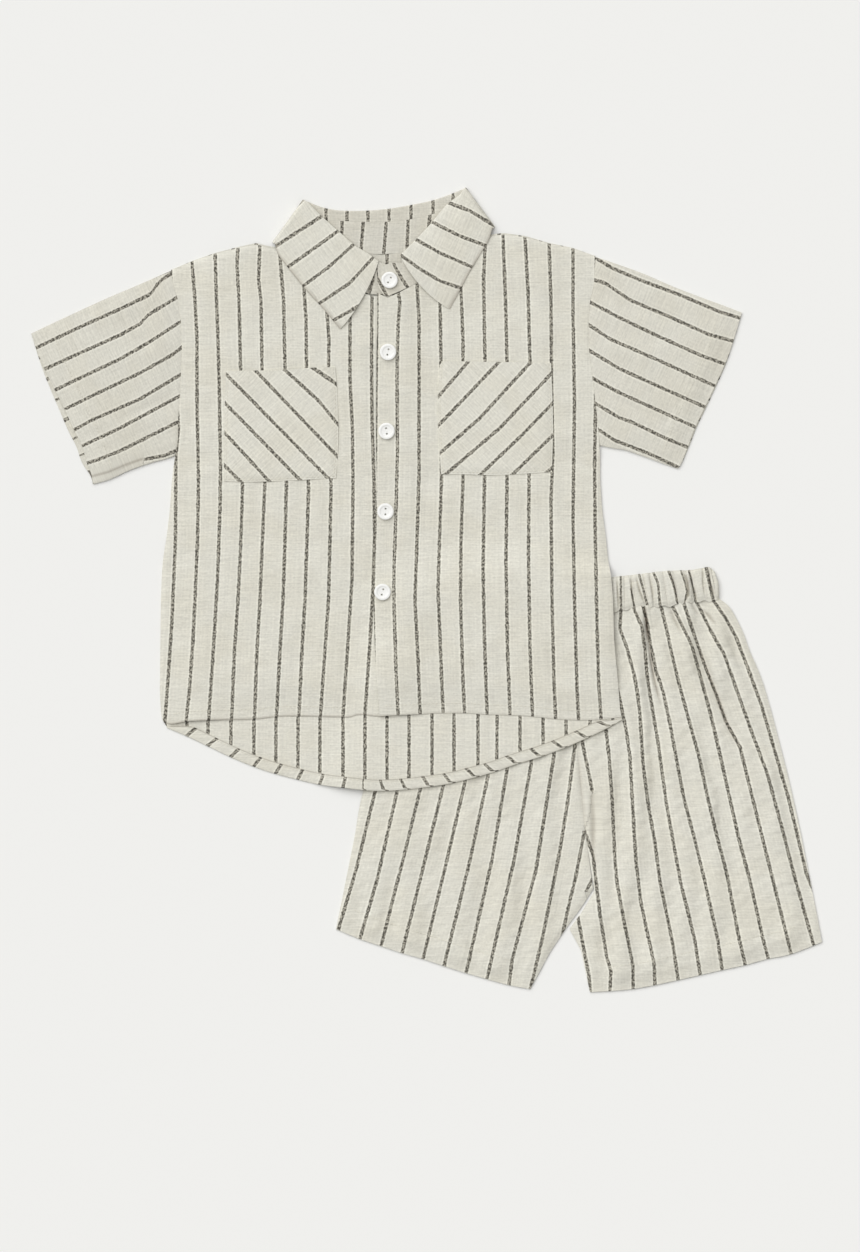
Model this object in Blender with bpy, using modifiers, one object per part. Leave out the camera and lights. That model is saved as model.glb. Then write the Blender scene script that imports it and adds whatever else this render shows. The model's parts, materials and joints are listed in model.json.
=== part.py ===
"""Small child's shirt and shorts, striped linen-cotton, laid flat: the shirt lies on the shorts."""

import bmesh
import bpy
import numpy as np
from mathutils import Vector

# Driving sizes of the real set, in millimetres
CHEST_WIDTH = 329.0
CLOTH_WALL = 1.0
WAISTBAND_WALL = 1.6
SEAM_GAP = 0.3
LOOSE_GAP = 0.5
BUTTON_DIAMETER = 13.0
BUTTON_THICKNESS = 2.3
BUTTON_HOLE_DIAMETER = 1.5
BUTTON_HOLE_SPACING = 3.8
HEM_TURN_UP = 8.0
BODY_PUFF = 1.3
SLEEVE_PUFF = 1.5
COLLAR_BULGE = 1.4
BAND_RIDGE = 0.9
GATHER_RIDGE = 1.0
SHORTS_PUFF = 1.0
LEG_FOLD = 1.3

# Counts: gathers of the elastic waist, and how finely each form is divided
BAND_RIDGES = 33
GATHERS_EACH_LEG = 11
STEPS_EACH_RIDGE = 4
FOLD_STEPS = 4
BUTTON_STEPS = 18
HOLE_SIDES = 8

# The outlines below are places on the photo, in pixels, x to the right and y down.
# The chest, measured there from underarm to underarm, ties them to the real size.
CHEST_IN_PHOTO = 422.0
PIXEL = CHEST_WIDTH / CHEST_IN_PHOTO
PHOTO_CENTRE = (425.3, 590.1)
MILLIMETRE = 0.001

# Shirt body, one row per level from shoulder to hem: y, left edge x, right edge x
BODY_SIDES = (
    (256, 169, 595), (270, 171, 594.5), (285, 174, 594), (300, 178, 590), (320, 181, 588.5),
    (350, 182, 589), (375, 181, 592), (400, 180, 595), (420, 178, 597.5), (440, 178, 599),
    (457, 175, 600), (480, 172, 600), (510, 170, 602), (535, 167, 605.5), (560, 163, 608),
    (575, 162, 611), (600, 161, 613), (640, 160.5, 614), (695, 160, 619), (710, 161, 620),
    (719, 162, 622), (727, 167, 622),
)
LEFT_SIDE_ENDS = (270.0, 727.0)
RIGHT_SIDE_ENDS = (256.0, 719.0)
LEFT_FRONT_ENDS = (270.0, 722.0)
RIGHT_FRONT_ENDS = (256.0, 715.0)
ARMHOLE_END = 0.417

# Shoulder and neck edges of the shirt body: x, y
LEFT_SHOULDER = ((171, 270), (192, 261), (215, 253), (238, 247), (256, 243), (268, 246), (290, 249))
LEFT_NECK_POINT = (316, 241)
RIGHT_NECK_POINT = (458, 231)
RIGHT_SHOULDER = ((480, 236), (503, 233), (525, 236), (549, 243), (573, 248), (595, 256))
NECK_BACK = ((330, 248), (350, 254), (382, 256), (415, 253), (438, 244))
NECK_FRONT_LEFT = ((322, 258), (334, 275), (352, 288), (372, 296), (397, 295))
NECK_FRONT_RIGHT = ((377, 293), (388, 299), (400, 294), (417, 285), (434, 270), (447, 252))

# Front edges: the right front laps over the left one, whose edge is hidden under it: x, y
TOP_FRONT_EDGE = ((377, 293), (377, 350), (376, 450), (376, 540), (373.5, 600), (375, 650), (379.5, 716))
UNDER_FRONT_EDGE = ((397, 295), (397, 500), (395, 600), (398, 715))
FRONT_HEM_LEFT = ((163.7, 722), (186, 721), (232, 719.5), (278, 716.5), (340, 717), (360, 714.5), (398, 715))
FRONT_HEM_RIGHT = ((379.5, 716), (440, 713), (488, 714.5), (533, 716.5), (578, 719), (600, 717.5), (621, 715))
BACK_HEM = (
    (167, 727), (188, 736), (209, 746), (232, 757), (254, 766), (275, 773), (298, 779),
    (320, 784), (342, 787), (370, 790), (390, 790), (410, 788.5), (430, 786), (450, 783),
    (472, 777.5), (494, 771.5), (515, 764), (541, 756), (565, 747), (590, 736), (610, 726), (622, 719),
)

# Sleeves: fold along the top, edge of the cuff, underarm edge: x, y
LEFT_SLEEVE_TOP = ((170, 270), (100, 301), (31, 333))
LEFT_SLEEVE_CUFF = ((31, 333), (45, 370), (65, 410), (82, 446), (92, 475), (93, 485))
LEFT_SLEEVE_UNDER = ((174, 459), (165, 460), (150, 464), (130, 471), (110, 480), (93, 485))
LEFT_SLEEVE_PEEK = (-5.0, 2.0)
RIGHT_SLEEVE_TOP = ((596, 256), (640, 272), (680, 289), (742, 312))
RIGHT_SLEEVE_CUFF = ((742, 312), (733, 342), (715, 386), (695, 428), (687, 449), (677, 469))
RIGHT_SLEEVE_UNDER = ((602, 452), (612, 449), (625, 451), (640, 456), (660, 463), (677, 469))
RIGHT_SLEEVE_PEEK = (1.0, 0.5)

# Collar, one row per station from the left front round the back to the right front:
# turn (0 on top of the shirt, 1 beneath it), lower stand x, y, leaf seam x, y, roll x, y, leaf edge x, y
LEFT_FRONT_COLLAR = (
    (0, 396, 292, 392, 266, 378, 262, 340, 328),
    (0, 372, 294, 371, 264, 367, 254, 331, 317),
    (0, 353, 286, 356, 256, 354, 246, 319, 302),
    (0, 336, 273, 340, 246, 339, 234, 302, 283),
    (0, 324, 257, 325, 231, 323, 219, 287, 264),
    (0, 317, 241, 312, 219, 309, 206, 279, 253),
)
BACK_COLLAR = (
    (1, 331, 246, 328, 221, 324, 210, 302, 262),
    (1, 350, 252, 345, 221, 345, 213, 342, 271),
    (1, 382, 254, 380, 222, 380, 212, 382, 274),
    (1, 415, 251, 412, 219, 412, 207, 424, 268),
    (1, 437, 242, 436, 213, 438, 201, 462, 253),
)
RIGHT_FRONT_COLLAR = (
    (0, 456, 234, 459, 208, 460, 197, 487, 240),
    (0, 446, 250, 446, 220, 447, 207, 478, 255),
    (0, 433, 268, 430, 236, 432, 225, 468, 272),
    (0, 416, 283, 416, 252, 416, 242, 460, 287),
    (0, 400, 291, 402, 264, 401, 256, 450, 308),
)
COLLAR_SIDES = ((0, 317, 238, 310, 217, 306, 203, 276, 244), (0, 457, 229, 461, 205, 463, 191, 491, 229))
STAND_END = ((388, 296, 393, 263), (384, 294, 388, 265), (380, 287, 382, 269))
COLLAR_OUTWARD = ((-0.82, -0.57), (0.80, -0.60))
# How far the leaf's two front edges bow forward between roll and tip: x, y
LEAF_FRONT_BOW = ((3.7, 2.1), (-4.0, 3.8))
LEAF_BOW_FADE = (1.0, 0.35, 0.08)

# Patch pockets, one row each: left x, right x, then y of top left, top right, bottom right, bottom left
POCKETS = {
    "pocket_left": (225, 337, 371, 368, 479, 481),
    "pocket_right": (439, 552, 361, 363, 473, 475),
}
BUTTONS = ((389.5, 280), (388, 352), (386.5, 431), (385.5, 511.5), (382.5, 592))

# Shorts: edges of the waistband and legs: x, y
BAND_TOP = ((417, 604), (490, 593), (566, 584), (613, 577), (640, 574), (665, 571), (705, 568), (713, 569))
BAND_LOW = ((420, 632), (494, 624), (569, 616), (613, 611), (645, 606), (670, 605), (695, 601), (717, 599))
BAND_LEFT_END = ((417, 604), (419, 618), (420, 632))
BAND_RIGHT_END = ((713, 569), (717, 582), (717, 599))
LEFT_WAIST = ((419, 634), (494, 625), (569, 617))
RIGHT_WAIST = ((569, 617), (613, 612), (645, 607), (670, 606), (695, 602), (719, 600))
LEFT_OUTSEAM = (
    (419, 634), (404, 655), (396, 690), (384, 735), (363, 792), (355, 835), (350, 860), (341, 905), (336, 929),
)
RIGHT_OUTSEAM = (
    (719, 600), (736, 618), (750, 652), (760, 675), (768, 700), (780, 745), (790, 785), (807, 865), (822, 942),
)
LEFT_INSEAM = ((569, 617), (577, 742), (585, 830), (593, 889), (580, 909), (566, 928), (550, 952), (530, 989))
RIGHT_INSEAM = ((569, 617), (577, 742), (585, 830), (594.5, 891), (582.5, 911), (569.5, 929), (581, 950), (590, 992))
LEFT_LEG_HEM = ((336, 929), (360, 939), (402, 953), (444, 966), (487, 979), (509, 985), (530, 989))
RIGHT_LEG_HEM = ((590, 992), (632, 989), (678, 980), (722, 970), (767, 959), (800, 951), (822, 942))

# Folds of the right leg, one row each: start x, y, end x, y, half width in pixels, height in millimetres
LEG_FOLDS = (
    (652, 625, 662, 760, 12, 1.2),
    (694, 640, 728, 725, 12, 1.5),
    (704, 612, 744, 690, 10, 1.0),
    (632, 625, 634, 700, 9, 0.7),
)

# Heights of the layers that lie on each other, in millimetres above the surface
COLLAR_MIDDLE = 2.7
COLLAR_INNER_RADIUS = 0.9
COLLAR_OUTER_RADIUS = 2.2
BACK_OVER_COLLAR = CLOTH_WALL + SEAM_GAP
FRONT_UNDER_COLLAR = 3.1
FRONT_LAP = CLOTH_WALL + SEAM_GAP + 0.4
OVER_BAND = 5.4
OVER_LEGS = 4.8

# Reach, in pixels, over which cloth comes down from what lies under it: full height, then slope
SHORTS_REACH = (10.0, 45.0)
COLLAR_REACH = (20.0, 30.0)
LAP_REACH = (402.0, 432.0)
PUFF_REACH = 60.0

GROUND_COLOUR = "D6D4C8"
BUTTON_COLOUR = "F4F4F1"


def linear_colour(code):
    """Display colour code to linear values."""
    parts = np.array([int(code[i:i + 2], 16) / 255 for i in (0, 2, 4)])
    linear = np.where(parts <= 0.04045, parts / 12.92, ((parts + 0.055) / 1.055) ** 2.4)
    return (*linear.tolist(), 1.0)


def ease(share):
    """0 to 1 with soft ends."""
    share = np.clip(share, 0.0, 1.0)
    return share * share * (3.0 - 2.0 * share)


def along(points, shares):
    """Places at the given shares of the length of a line through the points."""
    points = np.asarray(points, float)
    steps = np.linalg.norm(np.diff(points, axis=0), axis=1)
    reached = np.concatenate([[0.0], np.cumsum(steps)]) / steps.sum()
    return np.stack([np.interp(shares, reached, points[:, i]) for i in range(2)], axis=-1)


def shares_of(points):
    """The share of the length at each point of the line."""
    steps = np.linalg.norm(np.diff(np.asarray(points, float), axis=0), axis=1)
    return np.concatenate([[0.0], np.cumsum(steps)]) / steps.sum()


def spread(*runs):
    """Shares in runs of (start, end, steps), for closer sections where the cloth bends more."""
    parts = [np.linspace(start, end, steps, endpoint=False) for start, end, steps in runs]
    return np.concatenate([*parts, [runs[-1][1]]])


def between(top, bottom, left, right, across, down):
    """Sections of a panel between its four edges: rows down the panel, columns across it."""
    top, bottom = along(top, across), along(bottom, across)
    left, right = along(left, down), along(right, down)
    u, v = across[None, :, None], down[:, None, None]
    edges = (1 - v) * top[None] + v * bottom[None] + (1 - u) * left[:, None] + u * right[:, None]
    corners = (1 - v) * ((1 - u) * top[0] + u * top[-1]) + v * ((1 - u) * bottom[0] + u * bottom[-1])
    return edges - corners


def reach_from(places, outline):
    """Distance from each place to a closed outline, 0 inside it."""
    outline = np.array([place for i, place in enumerate(outline) if place != outline[i - 1]], float)
    nearest = np.full(places.shape[:-1], np.inf)
    inside = np.zeros(places.shape[:-1], bool)
    for start, end in zip(outline, np.roll(outline, -1, axis=0)):
        span = end - start
        share = np.clip(((places - start) @ span) / (span @ span), 0.0, 1.0)
        nearest = np.minimum(nearest, np.linalg.norm(places - start - share[..., None] * span, axis=-1))
        crosses = (start[1] > places[..., 1]) != (end[1] > places[..., 1])
        rise = span[1] if span[1] else 1.0
        inside ^= crosses & (places[..., 0] < start[0] + span[0] * (places[..., 1] - start[1]) / rise)
    return np.where(inside, 0.0, nearest)


def side_line(column, ends):
    """One side of the shirt body as points between its two end levels."""
    table = np.array(BODY_SIDES, float)
    levels = [ends[0], *[y for y in table[:, 0] if ends[0] < y < ends[1]], ends[1]]
    return [(np.interp(y, table[:, 0], table[:, column]), y) for y in levels]


def grid_object(name, plan, height, wall, side, closed=False, colour=GROUND_COLOUR, roughness=0.85):
    """A sheet of sections, thickened into a wall. side is 1 for a wall outside the sheet, -1 inside, 0 both."""
    rows, columns = plan.shape[:2]
    shape = bmesh.new()
    bmesh.ops.create_grid(shape, x_segments=columns - 1, y_segments=rows - 1, size=1.0)
    ordered = sorted(shape.verts, key=lambda vert: (round(vert.co.y, 6), round(vert.co.x, 6)))
    metres = PIXEL * MILLIMETRE
    for vert, place, level in zip(ordered, plan.reshape(-1, 2), height.reshape(-1)):
        across, down = (place - PHOTO_CENTRE) * metres
        vert.co = (across, -down, level * MILLIMETRE)
    if closed:
        bmesh.ops.remove_doubles(shape, verts=shape.verts, dist=1e-6)
    shape.normal_update()
    middle = Vector(np.mean([vert.co for vert in shape.verts], axis=0))
    outward = sum(
        face.calc_area() * (face.normal.dot(face.calc_center_median() - middle) if closed else face.normal.z)
        for face in shape.faces
    )
    if outward < 0:
        bmesh.ops.reverse_faces(shape, faces=shape.faces)
    mesh = bpy.data.meshes.new(name)
    shape.to_mesh(mesh)
    shape.free()
    mesh.polygons.foreach_set("use_smooth", [True] * len(mesh.polygons))
    piece = bpy.data.objects.new(name, mesh)
    parts.objects.link(piece)
    thicken = piece.modifiers.new("wall", "SOLIDIFY")
    thicken.thickness = wall * MILLIMETRE
    thicken.offset = side
    thicken.use_even_offset = True
    paint(piece, colour, roughness)
    return piece


def paint(piece, colour, roughness):
    material = bpy.data.materials.new(piece.name + "_surface")
    material.use_nodes = True
    surface = material.node_tree.nodes["Principled BSDF"]
    surface.inputs["Base Color"].default_value = linear_colour(colour)
    surface.inputs["Roughness"].default_value = roughness
    surface.inputs["Metallic"].default_value = 0.0
    material.diffuse_color = linear_colour(colour)
    piece.data.materials.append(material)


def turned_ends(front, front_height, back, back_height):
    """A flattened ring: the upper layer, a round turn, the lower layer back again, and a round turn."""
    plans, heights = [front], [front_height]
    for leaving, inner, arriving, start_level, end_level in (
        (front[:, -1], front[:, -2], back[:, 0], front_height[:, -1], back_height[:, 0]),
        (back[:, -1], back[:, -2], front[:, 0], back_height[:, -1], front_height[:, 0]),
    ):
        outward = leaving - inner
        outward = outward / np.linalg.norm(outward, axis=-1, keepdims=True)
        radius = np.abs(start_level - end_level) / 2
        for step in range(1, FOLD_STEPS):
            angle = np.pi * step / FOLD_STEPS
            share = (1 - np.cos(angle)) / 2
            base = leaving * (1 - share) + arriving * share
            plans.append((base + outward * (radius * np.sin(angle) / PIXEL)[:, None])[:, None])
            heights.append((start_level * (1 - share) + end_level * share)[:, None])
        if arriving is back[:, 0] or len(plans) <= FOLD_STEPS:
            plans.append(back)
            heights.append(back_height)
    plans.append(front[:, :1])
    heights.append(front_height[:, :1])
    return np.concatenate(plans, axis=1), np.concatenate(heights, axis=1)


for old in list(bpy.data.objects):
    bpy.data.objects.remove(old, do_unlink=True)

scene = bpy.context.scene
parts = bpy.data.collections.new("shirt_and_shorts_set")
cutters = bpy.data.collections.new("cutters")
scene.collection.children.link(parts)
scene.collection.children.link(cutters)
cutters.hide_render = True

shorts_outline = [*BAND_TOP, *RIGHT_OUTSEAM, *RIGHT_LEG_HEM[::-1], *LEFT_LEG_HEM[::-1], *LEFT_OUTSEAM[::-1]]
collar_rows = [COLLAR_SIDES[0], *BACK_COLLAR, COLLAR_SIDES[1]]
collar_under_outline = [row[7:9] for row in collar_rows] + [row[5:7] for row in collar_rows[::-1]]
collar_top_outline = [
    *[row[7:9] for row in LEFT_FRONT_COLLAR], *[row[5:7] for row in LEFT_FRONT_COLLAR[::-1]],
]
collar_top_right = [
    *[row[7:9] for row in RIGHT_FRONT_COLLAR], *[row[5:7] for row in RIGHT_FRONT_COLLAR[::-1]],
]


def back_rise(places):
    """Height of the shirt's back above the surface, where it lies on the shorts or on the collar's fall."""
    over = np.interp(places[..., 1], (640.0, 700.0), (OVER_BAND, OVER_LEGS))
    full, slope = SHORTS_REACH
    on_shorts = over * ease(1 - (reach_from(places, shorts_outline) - full) / slope)
    full, slope = COLLAR_REACH
    on_collar = BACK_OVER_COLLAR * ease(1 - (reach_from(places, collar_under_outline) - full) / slope)
    return np.maximum(on_shorts, on_collar)


def front_rise(places):
    """Height of the underside of the shirt's fronts, with the air that lifts them off the back."""
    table = np.array(BODY_SIDES, float)
    left = places[..., 0] - np.interp(places[..., 1], table[:, 0], table[:, 1])
    right = np.interp(places[..., 1], table[:, 0], table[:, 2]) - places[..., 0]
    puff = LOOSE_GAP + BODY_PUFF * ease(np.minimum(left, right) / PUFF_REACH)
    free = back_rise(places) + CLOTH_WALL + SEAM_GAP + puff
    reach = np.minimum(reach_from(places, collar_top_outline), reach_from(places, collar_top_right))
    full, slope = COLLAR_REACH
    held = ease(1 - (reach - full) / slope)
    return free * (1 - held) + np.maximum(FRONT_UNDER_COLLAR, back_rise(places) + CLOTH_WALL + SEAM_GAP) * held


def lap(places):
    """Lift of the right front and collar where they lie over the left front."""
    full, end = LAP_REACH
    return FRONT_LAP * ease((end - places[..., 0]) / (end - full))


# Shirt body: back with its hem turned up inside, and two fronts that lap at the buttons
body_down = spread((0, ARMHOLE_END, 8), (ARMHOLE_END, 0.55, 3), (0.55, 0.78, 9), (0.78, 1, 5))
left_side = side_line(1, LEFT_SIDE_ENDS)
right_side = side_line(2, RIGHT_SIDE_ENDS)
back_top = [*LEFT_SHOULDER, LEFT_NECK_POINT, *NECK_BACK, RIGHT_NECK_POINT, *RIGHT_SHOULDER]
back_plan = between(back_top, BACK_HEM, left_side, right_side, shares_of(back_top), body_down)
hem_row = back_plan[-1]
hem_inward = back_plan[-2] - hem_row
hem_inward = hem_inward / np.linalg.norm(hem_inward, axis=-1, keepdims=True)
hem_width = HEM_TURN_UP / PIXEL * ease(np.minimum(hem_row[:, 0] - 157, 632 - hem_row[:, 0]) / 45)
back_height = back_rise(back_plan)
turn_radius = CLOTH_WALL + SEAM_GAP / 2
hem_rows, hem_heights = [], []
for step in range(1, FOLD_STEPS + 1):
    angle = np.pi * step / FOLD_STEPS
    hem_rows.append(hem_row - hem_inward * (turn_radius * np.sin(angle) / PIXEL))
    hem_heights.append(back_height[-1] + turn_radius * (1 - np.cos(angle)))
hem_rows.append(hem_row + hem_inward * hem_width[:, None])
hem_heights.append(back_rise(hem_rows[-1]) + 2 * turn_radius + SEAM_GAP)
grid_object(
    "shirt_back",
    np.concatenate([back_plan, np.stack(hem_rows)]),
    np.concatenate([back_height, np.stack(hem_heights)]),
    CLOTH_WALL, 1,
)

left_front_side = side_line(1, LEFT_FRONT_ENDS)
right_front_side = side_line(2, RIGHT_FRONT_ENDS)
left_top = [*LEFT_SHOULDER, LEFT_NECK_POINT, *NECK_FRONT_LEFT]
left_plan = between(left_top, FRONT_HEM_LEFT, left_front_side, UNDER_FRONT_EDGE, shares_of(left_top), body_down)
grid_object("shirt_front_left", left_plan, front_rise(left_plan), CLOTH_WALL, 1)

right_top = [*NECK_FRONT_RIGHT, RIGHT_NECK_POINT, *RIGHT_SHOULDER]
right_plan = between(right_top, FRONT_HEM_RIGHT, TOP_FRONT_EDGE, right_front_side, shares_of(right_top), body_down)
grid_object("shirt_front_right", right_plan, front_rise(right_plan) + lap(right_plan), CLOTH_WALL, 1)


def sleeve(name, armhole, top, cuff, under, peek):
    """A sleeve pressed flat: one piece folded along its top, sewn along its underside, open at both ends."""
    down = shares_of(armhole)
    out = np.linspace(0, 1, 8)
    front = between(armhole, cuff, top, under, down, out)
    inset = (CLOTH_WALL + SEAM_GAP / 2) / PIXEL
    inward = front[:, 1] - front[:, 0]
    front[:, 0] += inset * inward / np.linalg.norm(inward, axis=-1, keepdims=True)
    inward = front[:, -2] - front[:, -1]
    front[:, -1] += inset * inward / np.linalg.norm(inward, axis=-1, keepdims=True)
    swell = np.sin(np.pi * down)[None] * (0.35 + 0.65 * np.sin(np.pi * out * 0.9))[:, None]
    upper = CLOTH_WALL + SEAM_GAP + LOOSE_GAP + SLEEVE_PUFF * swell
    peeks = (ease(out) ** 2)[:, None] * (ease(1.7 * down) * ease(8 * (1 - down)))[None]
    back = (front + np.array(peek) * peeks[..., None])[:, ::-1]
    plan, height = turned_ends(front, upper, back, np.full(upper.shape, CLOTH_WALL))
    grid_object(name, plan, height, CLOTH_WALL, 1, closed=True)


# Sleeves, set along the armholes of the body
armhole_rows = body_down <= ARMHOLE_END + 1e-6
sleeve_gap = np.array((1.4 * SEAM_GAP / PIXEL, 0.0))
left_armhole = left_plan[armhole_rows, 0] - sleeve_gap
right_armhole = right_plan[armhole_rows, -1] + sleeve_gap
left_top_fold = [tuple(left_armhole[0]), *LEFT_SLEEVE_TOP[1:]]
left_under = [tuple(left_armhole[-1]), *LEFT_SLEEVE_UNDER[1:]]
sleeve("sleeve_left", left_armhole, left_top_fold, LEFT_SLEEVE_CUFF, left_under, LEFT_SLEEVE_PEEK)
right_top_fold = [tuple(right_armhole[0]), *RIGHT_SLEEVE_TOP[1:]]
right_under = [tuple(right_armhole[-1]), *RIGHT_SLEEVE_UNDER[1:]]
sleeve("sleeve_right", right_armhole, right_top_fold, RIGHT_SLEEVE_CUFF, right_under, RIGHT_SLEEVE_PEEK)


def collar_stations():
    """Stations of the collar with their turn angle and outward direction, the sides turned round in steps."""
    stations = [(0.0, 0, row) for row in LEFT_FRONT_COLLAR]
    turn_angles = np.linspace(0, np.pi, 6)
    stations += [(angle, 0, COLLAR_SIDES[0]) for angle in turn_angles]
    stations += [(np.pi, 0, row) for row in BACK_COLLAR]
    stations += [(angle, 1, COLLAR_SIDES[1]) for angle in turn_angles[::-1]]
    stations += [(0.0, 1, row) for row in RIGHT_FRONT_COLLAR]
    angles = np.array([angle for angle, _, _ in stations])
    outward = np.array([COLLAR_OUTWARD[side] for _, side, _ in stations])
    places = np.array([row[1:] for _, _, row in stations], float).reshape(len(stations), 4, 2)
    return angles, outward, places


def turned_round(places, radius, angles, outward):
    """Places on a band that turns round the neck: on top where its angle is 0, beneath where it is half a turn."""
    plan = places + outward * (radius * np.sin(angles) / PIXEL)[..., None]
    return plan, COLLAR_MIDDLE + radius * np.cos(angles)


# Collar: a stand sewn round the neck, and a leaf sewn to the stand that rolls over and falls outside it
angles, outward, collar = collar_stations()
on_top = np.cos(angles) > 0.99
right_side_of_collar = np.arange(len(angles)) >= len(LEFT_FRONT_COLLAR) + 6 + len(BACK_COLLAR)
low, seam, roll, leaf_edge = (collar[:, i] for i in range(4))
stand_end = np.array(STAND_END, float).reshape(-1, 2, 2)
stand_low = np.concatenate([low, stand_end[:, 0]])
stand_top = np.concatenate([seam + (low - seam) * 0.05, stand_end[:, 1]])
stand_angles = np.concatenate([angles, np.zeros(len(stand_end))])
stand_outward = np.concatenate([outward, np.tile(COLLAR_OUTWARD[1], (len(stand_end), 1))])
stand_right = np.concatenate([right_side_of_collar, np.ones(len(stand_end), bool)])
stand_plans, stand_heights = [], []
for share in np.linspace(0, 1, 4):
    place, level = turned_round(
        stand_low * (1 - share) + stand_top * share, COLLAR_INNER_RADIUS, stand_angles, stand_outward,
    )
    stand_plans.append(place)
    stand_heights.append(level + np.where(stand_right & (stand_angles < 0.1), lap(place), 0.0))
grid_object("collar_stand", np.stack(stand_plans), np.stack(stand_heights), CLOTH_WALL, 0)

leaf_plans, leaf_heights = [], []
fall = leaf_edge - roll
front_bow = np.zeros(roll.shape)
for step, share in enumerate(LEAF_BOW_FADE):
    front_bow[step] = np.array(LEAF_FRONT_BOW[0]) * share
    front_bow[-1 - step] = np.array(LEAF_FRONT_BOW[1]) * share
fall_up = -fall / np.linalg.norm(fall, axis=-1, keepdims=True)
roll_radius = (COLLAR_OUTER_RADIUS - COLLAR_INNER_RADIUS) / 2
leaf_rows = [(seam * (1 - share) + roll * share, COLLAR_INNER_RADIUS, 0.0) for share in (0.0, 0.5, 0.9)]
for step in range(FOLD_STEPS + 1):
    angle = np.pi * step / FOLD_STEPS
    reach = fall_up * (roll_radius * np.sin(angle) / PIXEL)
    leaf_rows.append((roll + reach, COLLAR_INNER_RADIUS + roll_radius * (1 - np.cos(angle)), 0.0))
for share in (0.12, 0.3, 0.5, 0.75, 1.0):
    bulge = COLLAR_BULGE * np.sin(np.pi * share ** 0.7)
    bow = front_bow * np.sin(np.pi * share) ** 0.7 if share < 1 else 0.0
    leaf_rows.append((roll + fall * share + bow, COLLAR_OUTER_RADIUS, bulge))
for places, radius, bulge in leaf_rows:
    place, level = turned_round(places, np.full(len(angles), radius), angles, outward)
    level = level + np.where(on_top, bulge, 0.0)
    leaf_plans.append(place)
    leaf_heights.append(level + np.where(right_side_of_collar & on_top, lap(place), 0.0))
grid_object("collar_leaf", np.stack(leaf_plans), np.stack(leaf_heights), CLOTH_WALL, 0)


# Patch pockets, lying on the fronts
for name, (left, right, top_left, top_right, low_right, low_left) in POCKETS.items():
    steps = np.linspace(0, 1, 7)
    pocket_plan = between(
        ((left, top_left), (right, top_right)), ((left, low_left), (right, low_right)),
        ((left, top_left), (left, low_left)), ((right, top_right), (right, low_right)), steps, steps,
    )
    grid_object(name, pocket_plan, front_rise(pocket_plan) + CLOTH_WALL + 1.5 * SEAM_GAP, CLOTH_WALL, 1)


def button(name, place):
    """A two-hole button with a raised rim, turned from its profile."""
    x, y = (np.array(place) - PHOTO_CENTRE) * PIXEL * MILLIMETRE
    spot = np.array(place, float)
    around = spot + np.array([(dx, dy) for dx in (-8, 0, 8) for dy in (-8, 0, 8)])
    levels = front_rise(around) + lap(around)
    level = ((np.max(levels) + levels[4]) / 2 + CLOTH_WALL + LOOSE_GAP) * MILLIMETRE
    radius = BUTTON_DIAMETER / 2
    thick = BUTTON_THICKNESS
    profile = (
        (0.0, 0.0), (radius * 0.78, 0.0), (radius, thick * 0.4), (radius * 0.95, thick * 0.85),
        (radius * 0.82, thick), (radius * 0.68, thick * 0.78), (0.0, thick * 0.7),
    )
    mesh = bpy.data.meshes.new(name)
    points = [(r * MILLIMETRE, 0.0, z * MILLIMETRE) for r, z in profile]
    mesh.from_pydata(points, [(i, i + 1) for i in range(len(points) - 1)], [])
    piece = bpy.data.objects.new(name, mesh)
    parts.objects.link(piece)
    piece.location = (x, -y, level)
    turned = piece.modifiers.new("turned", "SCREW")
    turned.angle = 2 * np.pi
    turned.steps = BUTTON_STEPS
    turned.render_steps = BUTTON_STEPS
    turned.use_merge_vertices = True
    turned.merge_threshold = 0.00001
    turned.use_normal_calculate = True
    turned.use_smooth_shade = True
    shape = bmesh.new()
    for side in (-1, 1):
        made = bmesh.ops.create_cone(
            shape, cap_ends=True, segments=HOLE_SIDES, depth=4 * thick * MILLIMETRE,
            radius1=BUTTON_HOLE_DIAMETER / 2 * MILLIMETRE, radius2=BUTTON_HOLE_DIAMETER / 2 * MILLIMETRE,
        )
        offset = (0, side * BUTTON_HOLE_SPACING / 2 * MILLIMETRE, 0)
        bmesh.ops.translate(shape, verts=made["verts"], vec=offset)
    cutter_mesh = bpy.data.meshes.new(name + "_holes")
    shape.to_mesh(cutter_mesh)
    shape.free()
    cutter = bpy.data.objects.new(name + "_holes", cutter_mesh)
    cutters.objects.link(cutter)
    cutter.location = piece.location
    cutter.hide_render = True
    cutter.display_type = "WIRE"
    holes = piece.modifiers.new("holes", "BOOLEAN")
    holes.object = cutter
    holes.solver = "EXACT"
    holes.operation = "DIFFERENCE"
    paint(piece, BUTTON_COLOUR, 0.25)


# Five buttons: the highest on the stand, the others down the right front
for number, place in enumerate(BUTTONS, start=1):
    button(f"button_{number}", place)


def leg_gathers(across, down, places, fades):
    """Gathers that run down from the waist, and the large folds of the right leg."""
    gathers = 0.5 - 0.5 * np.cos(2 * np.pi * GATHERS_EACH_LEG * across)[None]
    lift = GATHER_RIDGE * gathers * (1 - ease(down / fades))[:, None]
    for x0, y0, x1, y1, half_width, tall in LEG_FOLDS:
        start, span = np.array((x0, y0), float), np.array((x1 - x0, y1 - y0), float)
        share = np.clip(((places - start) @ span) / (span @ span), 0.0, 1.0)
        away = np.linalg.norm(places - start - share[..., None] * span, axis=-1)
        lift = lift + LEG_FOLD * tall * ease(1 - away / half_width) * np.sin(np.pi * np.clip(share, 0.08, 0.92))
    return lift


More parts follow.
